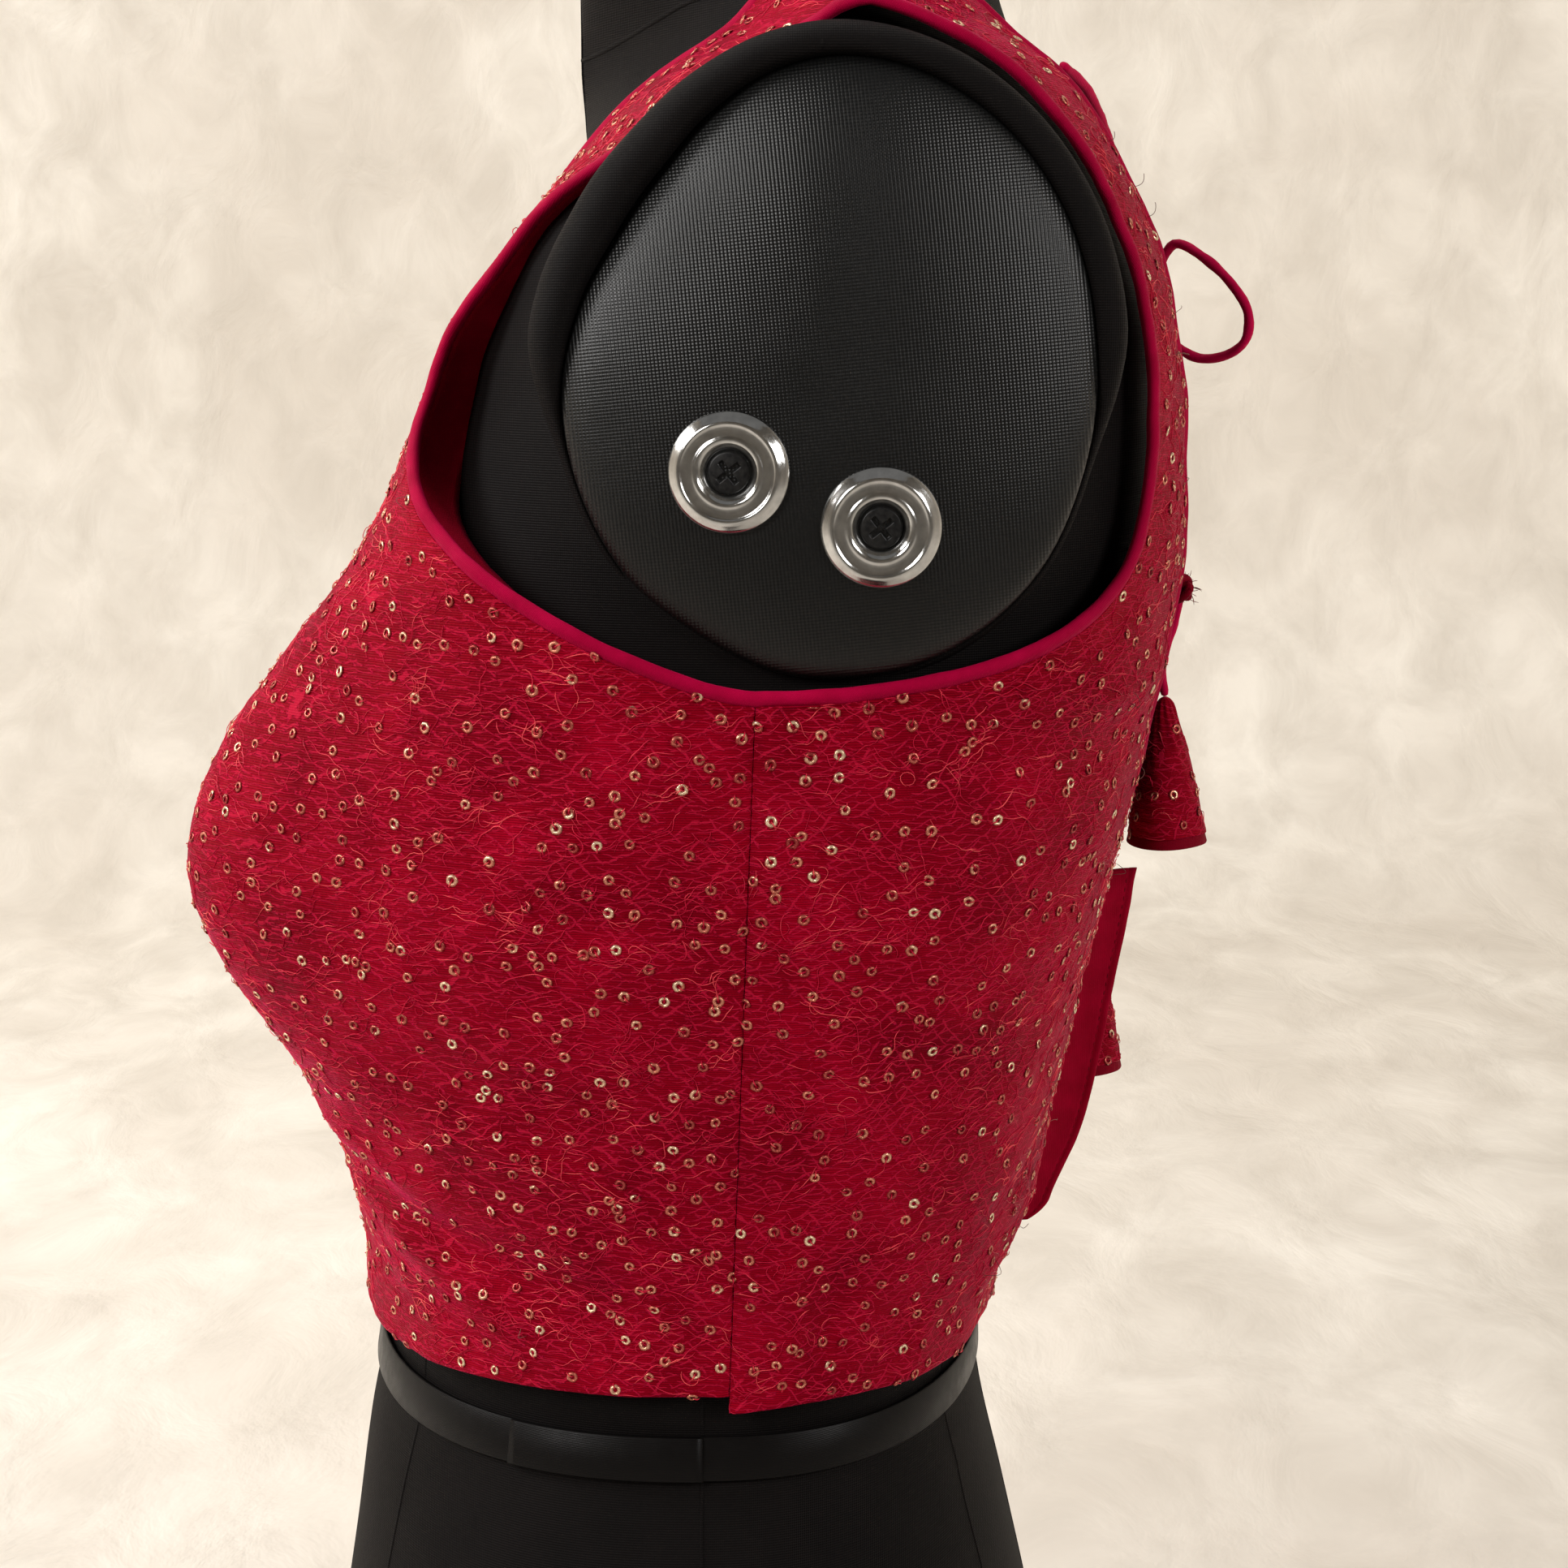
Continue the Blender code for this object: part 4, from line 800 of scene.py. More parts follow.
def stitched_threads(name, skin, count, seed):
    """Short wavy threads that lie every way but mostly across the cloth, some curling or standing off it."""
    draw = np.random.default_rng(seed)
    starts, up = skin.scatter(count)
    paths, normals, widths = [], [], []
    for p, n in zip(starts, up):
        across = unit(np.cross((0, 0, 1.0), n))
        rise = np.cross(n, across)
        curl = draw.random() < 0.22
        length = draw.uniform(6, 16) if curl else draw.uniform(5, 21)
        step = 1.05 if curl else 1.4
        s = np.arange(0, length, step)
        heading = draw.normal(0.05, 0.42) + (math.pi if draw.random() < 0.5 else 0)
        if curl:
            heading = draw.uniform(0, 6.28) + s / draw.uniform(1.7, 4.0) * draw.choice((-1, 1))
        heading = (heading + draw.uniform(0.1, 0.5) * np.sin(s / draw.uniform(0.8, 1.4) + draw.uniform(0, 6))
                   + draw.uniform(0.2, 0.7) * np.sin(s / draw.uniform(2.0, 4.0) + draw.uniform(0, 6)))
        x, y = np.cumsum(np.cos(heading)) * step, np.cumsum(np.sin(heading)) * step
        on, normal = skin.lay(p + x[:, None] * across + y[:, None] * rise)
        if len(on) < 4:
            continue
        lift = np.full(len(on), 0.02)
        if draw.random() < 0.10:
            lift = lift + draw.uniform(0.3, 1.0) * np.sin(np.linspace(0, math.pi, len(on))) ** 2
        paths.append(on + lift[:, None] * normal)
        normals.append(normal)
        widths.append(draw.uniform(0.16, 0.28))
    points, faces = prism(paths, normals, widths, 0.2)
    return piece(name, points, faces, THREAD)


def sequins(name, skin, count, seed):
    """Small flat rings sewn on with one stitch each."""
    draw = np.random.default_rng(seed)
    candidates, up = skin.scatter(count * 6)
    kept = np.zeros((0, 3))
    chosen = []
    for i, p in enumerate(candidates):
        nearest = np.linalg.norm(kept - p, axis=1).min(initial=99.0)
        beside = SEQUIN_PAIR[0] < nearest < SEQUIN_PAIR[1]
        if nearest > SEQUIN_APART or (beside and draw.random() < 0.22):
            kept = np.vstack([kept, p])
            chosen.append(i)
            if len(chosen) == count:
                break
    sides = 12
    a = circle(sides)
    points, faces, stitches, stitch_up, start = [], [], [], [], 0
    for i in chosen:
        p, n = candidates[i], up[i]
        n = unit(n + draw.normal(0, 0.13, 3))
        across = unit(np.cross((0.02, 0.1, 1.0), n))
        rise = np.cross(n, across)
        size = draw.uniform(0.92, 1.08)
        lump = 1 + 0.05 * np.sin(7 * a + draw.uniform(0, 6))
        around = np.cos(a)[:, None] * across + np.sin(a)[:, None] * rise
        rings = [p + around * (r * size * lump)[:, None] + n * h
                 for r, h in SEQUIN_PROFILE]
        points.append(np.stack(rings, 0).reshape(-1, 3))
        faces += [tuple(q) for q in looped(grid_quads(3, sides, True), 3, sides) + start]
        start += 3 * sides
        way = unit(math.cos(spin := draw.uniform(0, 6.28)) * across + math.sin(spin) * rise)
        t = np.array([0.0, 0.45, 1.1, 1.75, 2.1])
        stitches.append(p + way * t[:, None] + n * np.array([0.10, 0.50, 0.68, 0.40, 0.02])[:, None])
        stitch_up.append(np.tile(n, (5, 1)))
    rings = piece(name, np.vstack(points), faces, SEQUIN)
    points, faces = prism(stitches, stitch_up, [0.30] * len(stitches), 0.2)
    tied = piece(name.replace("sequins", "sequin_stitches"), points, faces, THREAD)
    return [rings, tied]


trims = {}
for tag, skin_data, seed in (("front", front_skin, 21), ("back_left", back_left_skin, 31),
                             ("back_right", back_right_skin, 41)):
    skin = Skin(skin_data)
    square = skin.area.sum()
    count = int(square / THREAD_SPACE)
    if tag == "front":
        trims[tag] = [stitched_threads(f"threads_{tag}_{part}", skin, count // 2, seed + 50 * k)
                      for k, part in enumerate(("first", "second"))]
    else:
        trims[tag] = [stitched_threads(f"threads_{tag}", skin, count, seed)]
    trims[tag] += sequins(f"sequins_{tag}", skin, int(square / SEQUIN_SPACE), seed + 1)


# Torso form.

FORM_FOOT, FORM_TOP, END_ROUNDING, FORM_PITCH = -230, 475, 4.0, 4.5


def torso():
    """The form, with its foot and neck top rounded over."""
    depth = np.array([0, 0.3, 0.9, 1.8, 2.9, END_ROUNDING])
    heights = np.concatenate([FORM_FOOT + depth, np.arange(FORM_FOOT + 8, FORM_TOP - 5, FORM_PITCH),
                              FORM_TOP - depth[::-1]])
    from_end = np.minimum(heights - FORM_FOOT, FORM_TOP - heights)
    inset = END_ROUNDING * (1 - rounded(from_end / END_ROUNDING))
    sides = 144
    a = circle(sides)
    direction = np.stack([np.cos(a), np.sin(a), 0 * a], -1)[None]
    middle = FORM.section(heights)[3]
    origin = np.stack([0 * middle, middle, heights], -1)[:, None]
    points = FORM.hit(np.broadcast_to(origin, (len(heights), sides, 3)),
                      np.broadcast_to(direction, (len(heights), sides, 3)))
    points = points - inset[:, None, None] * direction
    rows = [(points[0] - origin[0]) * k + origin[0] for k in (0.2, 0.6, 0.93)]
    tops = [(points[-1] - origin[-1]) * k + origin[-1] for k in (0.93, 0.6, 0.2)]
    rows = np.array(rows + list(points) + tops)
    made = piece("form_cover", rows, capped(grid_quads(len(rows), sides, True), len(rows), sides), FORM_COVER)
    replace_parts(made, "form_torso")
    return made


def on_form(turn, height, gap=0.0):
    """Points of the form's skin at angles round its middle and heights."""
    turn, height = np.radians(np.asarray(turn, float)), np.asarray(height, float)
    origin = np.stack([0 * height, FORM.section(height)[3], height], -1)
    at = FORM.hit(origin, np.stack([np.cos(turn), np.sin(turn), 0 * turn], -1))
    return at + gap * FORM.normal(at), FORM.normal(at)


def ridge(name, path, up, width, height, look, sides=6, closed=False):
    """Low rounded ridge that lies on a surface along a path."""
    path, up = np.asarray(path), np.asarray(up)
    along = along_line(path, closed)
    across = unit(np.cross(along, up))
    a = math.pi * np.arange(sides) / (sides - 1)
    ring = (path[:, None] + across[:, None] * (np.cos(a) * width / 2)[:, None]
            + up[:, None] * (np.sin(a) * height - 0.15)[:, None])
    faces = (looped if closed else capped)(grid_quads(len(path), sides, True), len(path), sides)
    return piece(name, ring, faces, look)


form = torso()
# Seams of the form's cover: knots of angle round the middle and height.
SEAM_PATHS = {
    "side_left": ((1.4, -228), (1.2, -100), (1.3, -28), (0.4, 0), (-0.5, 20), (-4, 100), (-8, 200)),
    "side_right": ((178.6, -228), (178.8, -100), (178.7, -28), (179.6, 0), (180.5, 20), (184, 100),
                   (188, 200)),
    "front_left": ((-47, -228), (-47, -100), (-46, -35), (-45.6, 0), (-48, 40)),
    "front_right": ((-133, -228), (-133, -100), (-134, -35), (-134.4, 0), (-132, 40)),
    "back_left": ((54, -228), (51, -100), (47, -24), (43, 0), (42, 60)),
    "back_right": ((126, -228), (129, -100), (133, -24), (137, 0), (138, 60)),
    "middle_back": ((90, -228), (90, 0), (90, 200), (90, 330), (90, 470)),
    "middle_front": ((-90, -228), (-90, 0), (-90, 200), (-90, 330), (-90, 470))}
NECK_SEAM = (
    (-180, 392), (-150, 389), (-113, 382.6), (-90, 380), (-67, 382.6), (-45, 386.4), (-30, 389.2),
    (0, 392), (45, 396), (90, 399), (135, 396), (180, 392))
for tag, knots in SEAM_PATHS.items():
    knots = np.array(knots, float)
    height = np.arange(knots[0, 1], knots[-1, 1], 4.0)
    at, up = on_form(np.interp(height, knots[:, 1], knots[:, 0]), height)
    ridge(f"form_seam_{tag}", at, up, 1.3, 0.42, FORM_COVER)
turn = np.linspace(-180, 180, 121)[:-1]
at, up = on_form(turn, eased(NECK_SEAM, turn))
ridge("form_seam_neck", at, up, 1.6, 0.55, FORM_COVER, closed=True)


# Arm plates: padded oval faces, the welt round each, cup washers and screws.
PLATE_Y, PLATE_Z, PLATE_WIDE, PLATE_TALL, PLATE_FACE = 43.0, 292.3, 64.0, 73.2, 164.0
# y, height, slope of the washer's face along y and up
SOCKETS = (("front", 20.0, 269.0, 0.115, 0.03), ("back", 56.0, 256.0, 0.02, 0.085))
SOCKET_SEAT = 162.5
PLATE_THICK = 13.5
WELT_CREST = 154.0
# inset from the plate's edge, height against the face
PLATE_PROFILE = (
    (52, 0.4), (44, -0.1), (36, -0.8), (29, -1.7), (23, -2.8), (18, -3.9), (14, -5.0), (10.5, -6.1),
    (7.5, -7.2), (5, -8.3), (3, -9.4), (1.4, -10.6), (0.4, -11.8), (0, -13))
# place across the welt from the plate's edge, height against its crest
WELT_PROFILE = (
    (-0.13, -8), (-0.08, -3.6), (-0.03, -1.7), (0.04, -0.7), (0.13, -0.2), (0.25, 0), (0.38, -0.1),
    (0.50, -0.5), (0.62, -1.2), (0.74, -2.4), (0.85, -4.2), (0.94, -7.0), (1.0, -11))
# angle round the plate, how far its edge is off the plain oval
EGG = (
    (0, 1.0), (30, 1.6), (60, 1.2), (85, 0.5), (100, -1.2), (118, -4.4), (135, -6.6), (150, -6.0),
    (165, -3.2), (180, -0.8), (200, 0.3), (220, 0.6), (240, -0.8), (260, 0.6), (280, 1.4), (300, 2.4),
    (320, 2.8), (340, 1.6), (360, 1.0))


def oval(inset, a):
    inset = inset - eased(EGG, np.degrees(a) % 360)
    return PLATE_Y + (PLATE_WIDE - inset) * np.cos(a), PLATE_Z + (PLATE_TALL - inset) * np.sin(a)


def side_skin(tree, side, y, z):
    """Distance of the form's side from the middle plane, over one point."""
    met = tree.ray_cast(Vector(place((side * 260.0, y, z))[0]), Vector((-side, 0, 0)))[0]
    return abs(met.x) / MM if met else 60.0


def arm_plate(name, side, tree, node):
    sides = 120
    a = circle(sides)
    rings = [(oval(52, a), share, 0.4 + 0.1 * (1 - share)) for share in (0.06, 0.35, 0.68)]
    rings = [((PLATE_Y + (y - PLATE_Y) * share, PLATE_Z + (z - PLATE_Z) * share), height)
             for (y, z), share, height in rings]
    points = []
    for (y, z), height in rings + [(oval(inset, a), height) for inset, height in PLATE_PROFILE]:
        height = (height - 0.4) * (1 + 0.38 * np.exp(-((a - 2.36) / 0.75) ** 2)) + 0.4
        height = height + 0.12 * rumple(np.stack([0 * y, y, z], -1), 38.0, 17)
        for _, socket_y, socket_z, lean_y, lean_z in SOCKETS:
            under = np.exp(-(((y - socket_y) ** 2 + (z - socket_z) ** 2) / 17.5**2) ** 2)
            base = SOCKET_SEAT - PLATE_FACE + 0.45 + lean_y * (y - socket_y) + lean_z * (z - socket_z)
            height = height * (1 - under) + np.minimum(height, base) * under
        points.append(np.stack([side * (PLATE_FACE + height), y, z], -1))
    for inset in (0.0, 3.0, 9.0, 20.0):
        y, z = oval(inset, a)
        skin = np.array([min(side_skin(tree, side, *at), PLATE_FACE - PLATE_THICK) for at in zip(y, z)])
        points.append(np.stack([side * (skin - 0.4), y, z], -1))
    rows = np.array(points)
    faces = capped(grid_quads(len(rows), sides, True), len(rows), sides)
    made = piece(name, rows, facing_out(faces, side), PLATE_COVER)
    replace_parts(made, node)
    return made


def arm_welt(name, side, tree):
    """Padded roll round the plate that sinks into the body under the arm."""
    sides = 150
    a = circle(sides)
    stand = np.clip((np.sin(a) + 0.34) / 0.5, 0, 1)
    stand = stand * stand * (3 - 2 * stand)
    wide = (8.4 + 2.8 * np.exp(-((a - 2.6) / 0.6) ** 2)) * (0.35 + 0.65 * stand)
    crest = WELT_CREST - 6.0 * (1 - stand) + 0.15 * np.sin(5 * a + 1)
    rows = []
    for across, drop in WELT_PROFILE:
        y, z = oval(-across * wide, a)
        rows.append([crest + drop, y, z])
    y, z = oval(-wide, a)
    skin = np.array([min(side_skin(tree, side, *at), 147.0) for at in zip(y, z)])
    for share in (0.5, 1.0):
        rows.append([(crest - 11) * (1 - share) + np.minimum(skin - 1.5, crest - 11) * share, y, z])
    y, z = oval(1.0, a)
    inner = np.array([min(side_skin(tree, side, *at), 145.0) for at in zip(y, z)])
    rows.append([np.minimum(inner - 1.5, crest - 14), y, z])
    rows = np.array([np.stack([side * x, y, z], -1) for x, y, z in rows])
    faces = looped(grid_quads(len(rows), sides, True), len(rows), sides)
    return piece(name, rows, facing_out(faces, side), FORM_COVER)


def turned(name, profile, socket, side, look, node, shape=None, sides=96):
    """Ring or disc turned about the sideways axis from (distance out, radius) pairs, leaning with the pad."""
    _, y, z, lean_y, lean_z = socket
    a = circle(sides)
    rows = []
    for out, radius in profile:
        across, up = radius * np.cos(a), radius * np.sin(a)
        sunk = shape(across, up) if shape and out > 0.5 else 0.0
        out = out - sunk + 0 * a
        stand = SOCKET_SEAT + out + lean_y * across + lean_z * up
        rows.append(np.stack([side * stand, y + across - lean_y * out, z + up - lean_z * out], -1))
    quads = grid_quads(len(rows), sides, True)
    faces = capped(quads, len(rows), sides) if shape else looped(quads, len(rows), sides)
    made = piece(name, np.array(rows), facing_out(faces, side), look)
    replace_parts(made, node)
    return made


def cross_recess(across, up, turn=math.radians(38), arm=3.1, wide=0.62, deep=1.5):
    """Depth of the screw's cross at points of its head."""
    u = np.abs(across * math.cos(turn) + up * math.sin(turn))
    v = np.abs(up * math.cos(turn) - across * math.sin(turn))
    long, short = np.maximum(u, v), np.minimum(u, v)
    edge = np.clip((wide - short) / 0.22 + 0.5, 0, 1) * np.clip((arm - long) / 0.35 + 0.5, 0, 1)
    return deep * edge * (0.55 + 0.45 * np.clip((arm - long) / arm, 0, 1))


WASHER = (
    (0.0, 5.2), (0.0, 14.2), (0.15, 14.42), (0.5, 14.5), (0.9, 14.25), (1.5, 13.55), (2.2, 12.75),
    (2.7, 12.2), (2.95, 11.8), (3.0, 11.5), (2.85, 11.25), (2.62, 11.0), (2.5, 10.6), (2.46, 10.0),
    (2.46, 9.3), (2.5, 8.8), (2.62, 8.45), (2.85, 8.15), (2.92, 7.85), (2.8, 7.45), (2.4, 6.95),
    (1.8, 6.4), (1.2, 5.9), (0.7, 5.45), (0.4, 5.25))
HEAD_RADII = (*np.arange(0.12, 4.0, 0.12), 4.2, 4.4, 4.6, 4.8, 4.95, 5.05, 5.1)
HEAD = (*((1.35 - 0.42 * (r / 5.1) ** 2 - 0.5 * max(0.0, (r - 4.6) / 0.5) ** 2, r) for r in HEAD_RADII),
        (0.05, 5.14), (0.0, 4.0), (0.0, 0.5))
form_tree = BVHTree.FromPolygons([v.co for v in form.data.vertices], [p.vertices for p in form.data.polygons])
for side_name, side in (("left", 1), ("right", -1)):
    arm_plate(f"arm_pad_{side_name}", side, form_tree, f"arm_plate_{side_name}")
    arm_welt(f"arm_welt_{side_name}", side, form_tree)
    across = np.linspace(-0.5, 10.5, 12)
    z = PLATE_Z + PLATE_TALL + 0.3 + across * 0.76
    crest = WELT_CREST + np.interp(across / 8.2, *zip(*WELT_PROFILE[1:]))
    ridge(f"arm_welt_seam_{side_name}", np.stack([side * crest, PLATE_Y - 1.0 + 0 * z, z], -1)[1:9],
          np.tile((side * 0.94, 0.0, 0.34), (8, 1)), 1.2, 0.45, FORM_COVER)
    for socket in SOCKETS:
        turned(f"cup_washer_{side_name}_{socket[0]}", WASHER, socket, side, STEEL,
               f"socket_ring_{side_name}_{socket[0]}")
        turned(f"cross_screw_{side_name}_{socket[0]}", HEAD[::-1], socket, side, SCREW,
               f"socket_screw_{side_name}_{socket[0]}", cross_recess)


# Waist tape.

TAPE_EDGE = ((-6, 1.2), (-6.05, 1.7), (-5.6, 2.0), (0, 2.1), (5.6, 2.0), (6.05, 1.7), (6, 1.2))


def tape_strip(name, turn, lift=0.0, closed=False):
    """Flat tape round the waist over a range of angles."""
    direction = np.stack([np.cos(turn), np.sin(turn), 0 * turn], -1)
    rows = [FORM.hit(np.tile((0.0, 10.0, height), (len(turn), 1)), direction, gap + lift)
            for height, gap in TAPE_EDGE]
    quads = grid_quads(len(rows), len(turn), closed)
    if closed:
        return piece(name, np.array(rows), looped(quads, len(rows), len(turn)), TAPE)
    points = np.array(rows).transpose(1, 0, 2)
    faces = capped(grid_quads(len(turn), len(rows), True), len(turn), len(rows))
    return piece(name, points, [f[::-1] for f in faces], TAPE)


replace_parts(tape_strip("waist_ribbon", np.linspace(0, 2 * math.pi, 181)[:-1], closed=True), "waist_tape")
tape_strip("waist_ribbon_end", np.radians(np.linspace(-26.0, 0.4, 26)), 0.75)


# Eye strip on the right back edge, standing off the back.

def doubled(name, middle, half, up, look):
    """Closed strip from a grid of middle points, its half thickness and its normals."""
    rows, columns = middle.shape[:2]
    quads = grid_quads(rows, columns)
    count = rows * columns
    rim = [(0, c) for c in range(columns)] + [(r, columns - 1) for r in range(1, rows)]
    rim += [(rows - 1, c) for c in range(columns - 2, -1, -1)] + [(r, 0) for r in range(rows - 2, 0, -1)]
    rim = np.array([r * columns + c for r, c in rim])
    walls = np.stack([np.roll(rim, -1), rim, rim + count, np.roll(rim, -1) + count], -1)
    points = np.vstack([(middle + half * up).reshape(-1, 3), (middle - half * up).reshape(-1, 3)])
    return piece(name, points, np.vstack([quads, quads[:, ::-1] + count, walls]), look)


FACING_STEPS, FACING_WIDE = (10, 92), 17.0


def facing(name, half):
    """Slack edge of the lining that leaves the armhole's front and comes to rest on the form."""
    low, high, normal, rows = half
    keep = (rows >= FACING_STEPS[0]) & (rows <= FACING_STEPS[1])
    edge, up = low[keep, 0], normal[keep, 0]
    inward = unit(low[keep, 8] - edge)
    t = np.linspace(0, 1, len(edge))
    wide = FACING_WIDE * np.clip(np.sin(math.pi * t), 0, 1) ** 0.5 + 0.5
    s = np.linspace(0, 1, 9)
    turn = np.radians(24 + 34 * s)[None, :, None]
    way = np.cos(turn) * inward[:, None] - np.sin(turn) * up[:, None]
    middle = edge[:, None] - 0.8 * up[:, None] + (wide[:, None] * s)[..., None] * way
    middle = middle + 0.35 * (rumple(middle, 22.0, 12) * s)[..., None] * up[:, None]
    return doubled(name, middle, np.full((*middle.shape[:2], 1), 0.3),
                   np.sin(turn) * inward[:, None] + np.cos(turn) * up[:, None], LINING)


for side_name, front_half in zip(("left", "right"), front_halves):
    trims["front"].append(facing(f"armhole_facing_{side_name}", front_half))

STRIP_TOP, STRIP_FOOT, STRIP_WIDE = 136.0, 22.0, 20.0
STITCH_LINE = 0.865      # share of the strip's width


def eye_strip():
    low, high, _, rows = back_halves[1]
    edge = (low[:, -1] + high[:, -1]) / 2
    t = np.concatenate([np.linspace(0, 0.12, 26)[:-1], np.linspace(0.12, 1, 74)])
    height = STRIP_FOOT + t * (STRIP_TOP - STRIP_FOOT)
    y = np.interp(height, edge[:, 2], edge[:, 1])
    reach = (STRIP_WIDE - 3.2 * (1 - t)) * rounded((height - STRIP_FOOT + 1.6) / 8.0)
    lean = np.radians(62 + 9 * np.sin(3.3 * t) - 4 * t)
    s = np.concatenate([[0, 0.03], np.linspace(0.08, 0.80, 10),
                        [0.84, STITCH_LINE, 0.885, 0.905, 0.94, 0.97, 0.99, 1.0]])
    bend = lean[:, None] - np.radians(24) * (1 - s)
    out = np.stack([-np.cos(bend), np.sin(bend), 0 * bend], -1)
    up = np.stack([np.sin(bend), np.cos(bend), 0 * bend], -1)
    base = np.stack([-2.2 + 0 * y, y + 2.1, height], -1)
    soft = 0.35 * rumple(base, 26.0, 8)[:, None] * s
    middle = base[:, None] + (reach[:, None] * s)[..., None] * out + soft[..., None] * up
    from_end = np.minimum(height - STRIP_FOOT, STRIP_TOP - height)[:, None]
    rim = np.minimum(reach[:, None] * np.minimum(s, 1 - s), from_end)
    welt = reach[:, None] * (1 - s)
    half = 0.72 - 0.42 * np.exp(-(rim / 0.35) ** 1.5) - 0.34 * np.exp(-((welt - 2.35) / 0.30) ** 2)
    half = half + 0.16 * np.exp(-((welt - 1.2) / 0.9) ** 2)
    made = doubled("eye_strip", middle, half[..., None], up, STRIP)
    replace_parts(made, "back_placket")
    paths, normals = [], []
    for face in (1, -1):
        column = np.argmin(np.abs(s - STITCH_LINE))
        line = middle[:, column] + face * (half[:, column, None] + 0.05) * up[:, column]
        line = evened(np.hstack([line, face * up[:, column]]), 0.7, False)
        for k in range(2, len(line) - 4, 4):
            paths.append(line[k:k + 3, :3])
            normals.append(unit(line[k:k + 3, 3:]))
    points, faces = prism(paths, normals, [0.34] * len(paths), 0.22)
    return [made, piece("eye_strip_stitches", points, faces, SEAM_THREAD)]


strip_pieces = eye_strip()


# Cords, knots and latkans at the back.

def smooth_curve(route, per_span):
    """Centripetal curve through the given route points."""
    p = np.array(route, float)
    p = np.vstack([2 * p[0] - p[1], p, 2 * p[-1] - p[-2]])
    out = []
    for i in range(1, len(p) - 2):
        a, b, c, d = p[i - 1:i + 3]
        t1 = math.sqrt(np.linalg.norm(b - a))
        t2 = t1 + math.sqrt(np.linalg.norm(c - b))
        t3 = t2 + math.sqrt(np.linalg.norm(d - c))
        for t in t1 + (t2 - t1) * np.arange(per_span) / per_span:
            ab = a + (b - a) * t / t1
            bc = b + (c - b) * (t - t1) / (t2 - t1)
            cd = c + (d - c) * (t - t2) / (t3 - t2)
            abc = ab + (bc - ab) * t / t2
            bcd = bc + (cd - bc) * (t - t1) / (t3 - t1)
            out.append(abc + (bcd - abc) * (t - t1) / (t2 - t1))
    out.append(p[-2])
    return np.array(out)


def tube_mesh(line, radius, closed=False, sides=14, seed=1):
    """Points and faces of a soft round cord along a line, with rounded ends."""
    along = along_line(line, closed)
    side = unit(np.cross(along[0], (0.3, 0.9, 0.2)))
    frames = []
    for way in along:
        side = unit(side - (side @ way) * way)
        frames.append(side)
    side = np.array(frames)
    other = np.cross(along, side)
    far = np.concatenate([[0], np.cumsum(gaps(line))])
    a = circle(sides)
    plump = 1 + 0.035 * np.sin(far * 0.83 + seed) + 0.03 * np.sin(far * 0.31 + 2 * seed)
    pucker = (1 + 0.05 * np.sin(2 * a[None] + far[:, None] * 0.55 + seed)
              + 0.02 * np.sin(a[None] * 3 - far[:, None] * 1.9))
    r = radius * plump[:, None] * pucker
    spokes = np.cos(a)[:, None] * side[:, None] + np.sin(a)[:, None] * other[:, None]
    rings = line[:, None] + r[..., None] * spokes
    if closed:
        return rings.reshape(-1, 3), looped(grid_quads(len(line), sides, True), len(line), sides)
    rings[0] = line[0] + (rings[0] - line[0]) * 0.72
    rings[-1] = line[-1] + (rings[-1] - line[-1]) * 0.72
    tip = [line[0] - along[0] * 0.35 + (rings[0] - line[0]) * 0.35, line[-1] + along[-1] * 0.35
           + (rings[-1] - line[-1]) * 0.35]
    rings = np.vstack([tip[:1], rings, tip[1:]])
    return rings.reshape(-1, 3), capped(grid_quads(len(rings), sides, True), len(rings), sides)


def cord(name, route, nodes, per_span=9):
    line = evened(smooth_curve(route, per_span), 1.4, False)
    points, faces = tube_mesh(line, CORD / 2, seed=len(name))
    made = piece(name, points, faces, CORD_LOOK)
    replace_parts(made, *nodes)
    return made


def tied_knot(name, centre, size, look, node, turns=(2, 3), tilt=0.0, thick=1.4):
    """Cord wound over itself and pulled tight."""
    t = np.linspace(0, 2 * math.pi, 97)[:-1]
    wide = (2 + np.cos(turns[1] * t)) / 3
    local = np.stack([wide * np.cos(turns[0] * t + tilt), 0.75 * np.sin(turns[1] * t),
                      wide * np.sin(turns[0] * t + tilt)], -1)
    line = np.array(centre) + local * (np.array(size) - thick)
    points, faces = tube_mesh(line, thick, closed=True, sides=12, seed=3)
    made = piece(name, points, faces, look)
    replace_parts(made, node)
    return made


def frayed(name, centre, size, count, reach, look, seed):
    """Short loose fibres that stick out of a knot."""
    draw = np.random.default_rng(seed)
    paths, normals = [], []
    for _ in range(count):
        way = unit(draw.normal(size=3) * (1.0, 1.2, 0.8))
        bend = np.cross(way, unit(draw.normal(size=3)))
        t = np.linspace(0, 1, 6)[:, None]
        far = draw.uniform(0.5, 1.0) * reach
        root = np.array(centre) + way * (np.array(size) * 0.72)
        paths.append(root + t * far * way + t * t * far * 0.8 * bend)
        normals.append(np.tile(unit(np.cross(way, bend)), (6, 1)))
    points, faces = prism(paths, normals, list(draw.uniform(0.14, 0.26, count)), 0.16)
    return piece(name, points, faces, look)


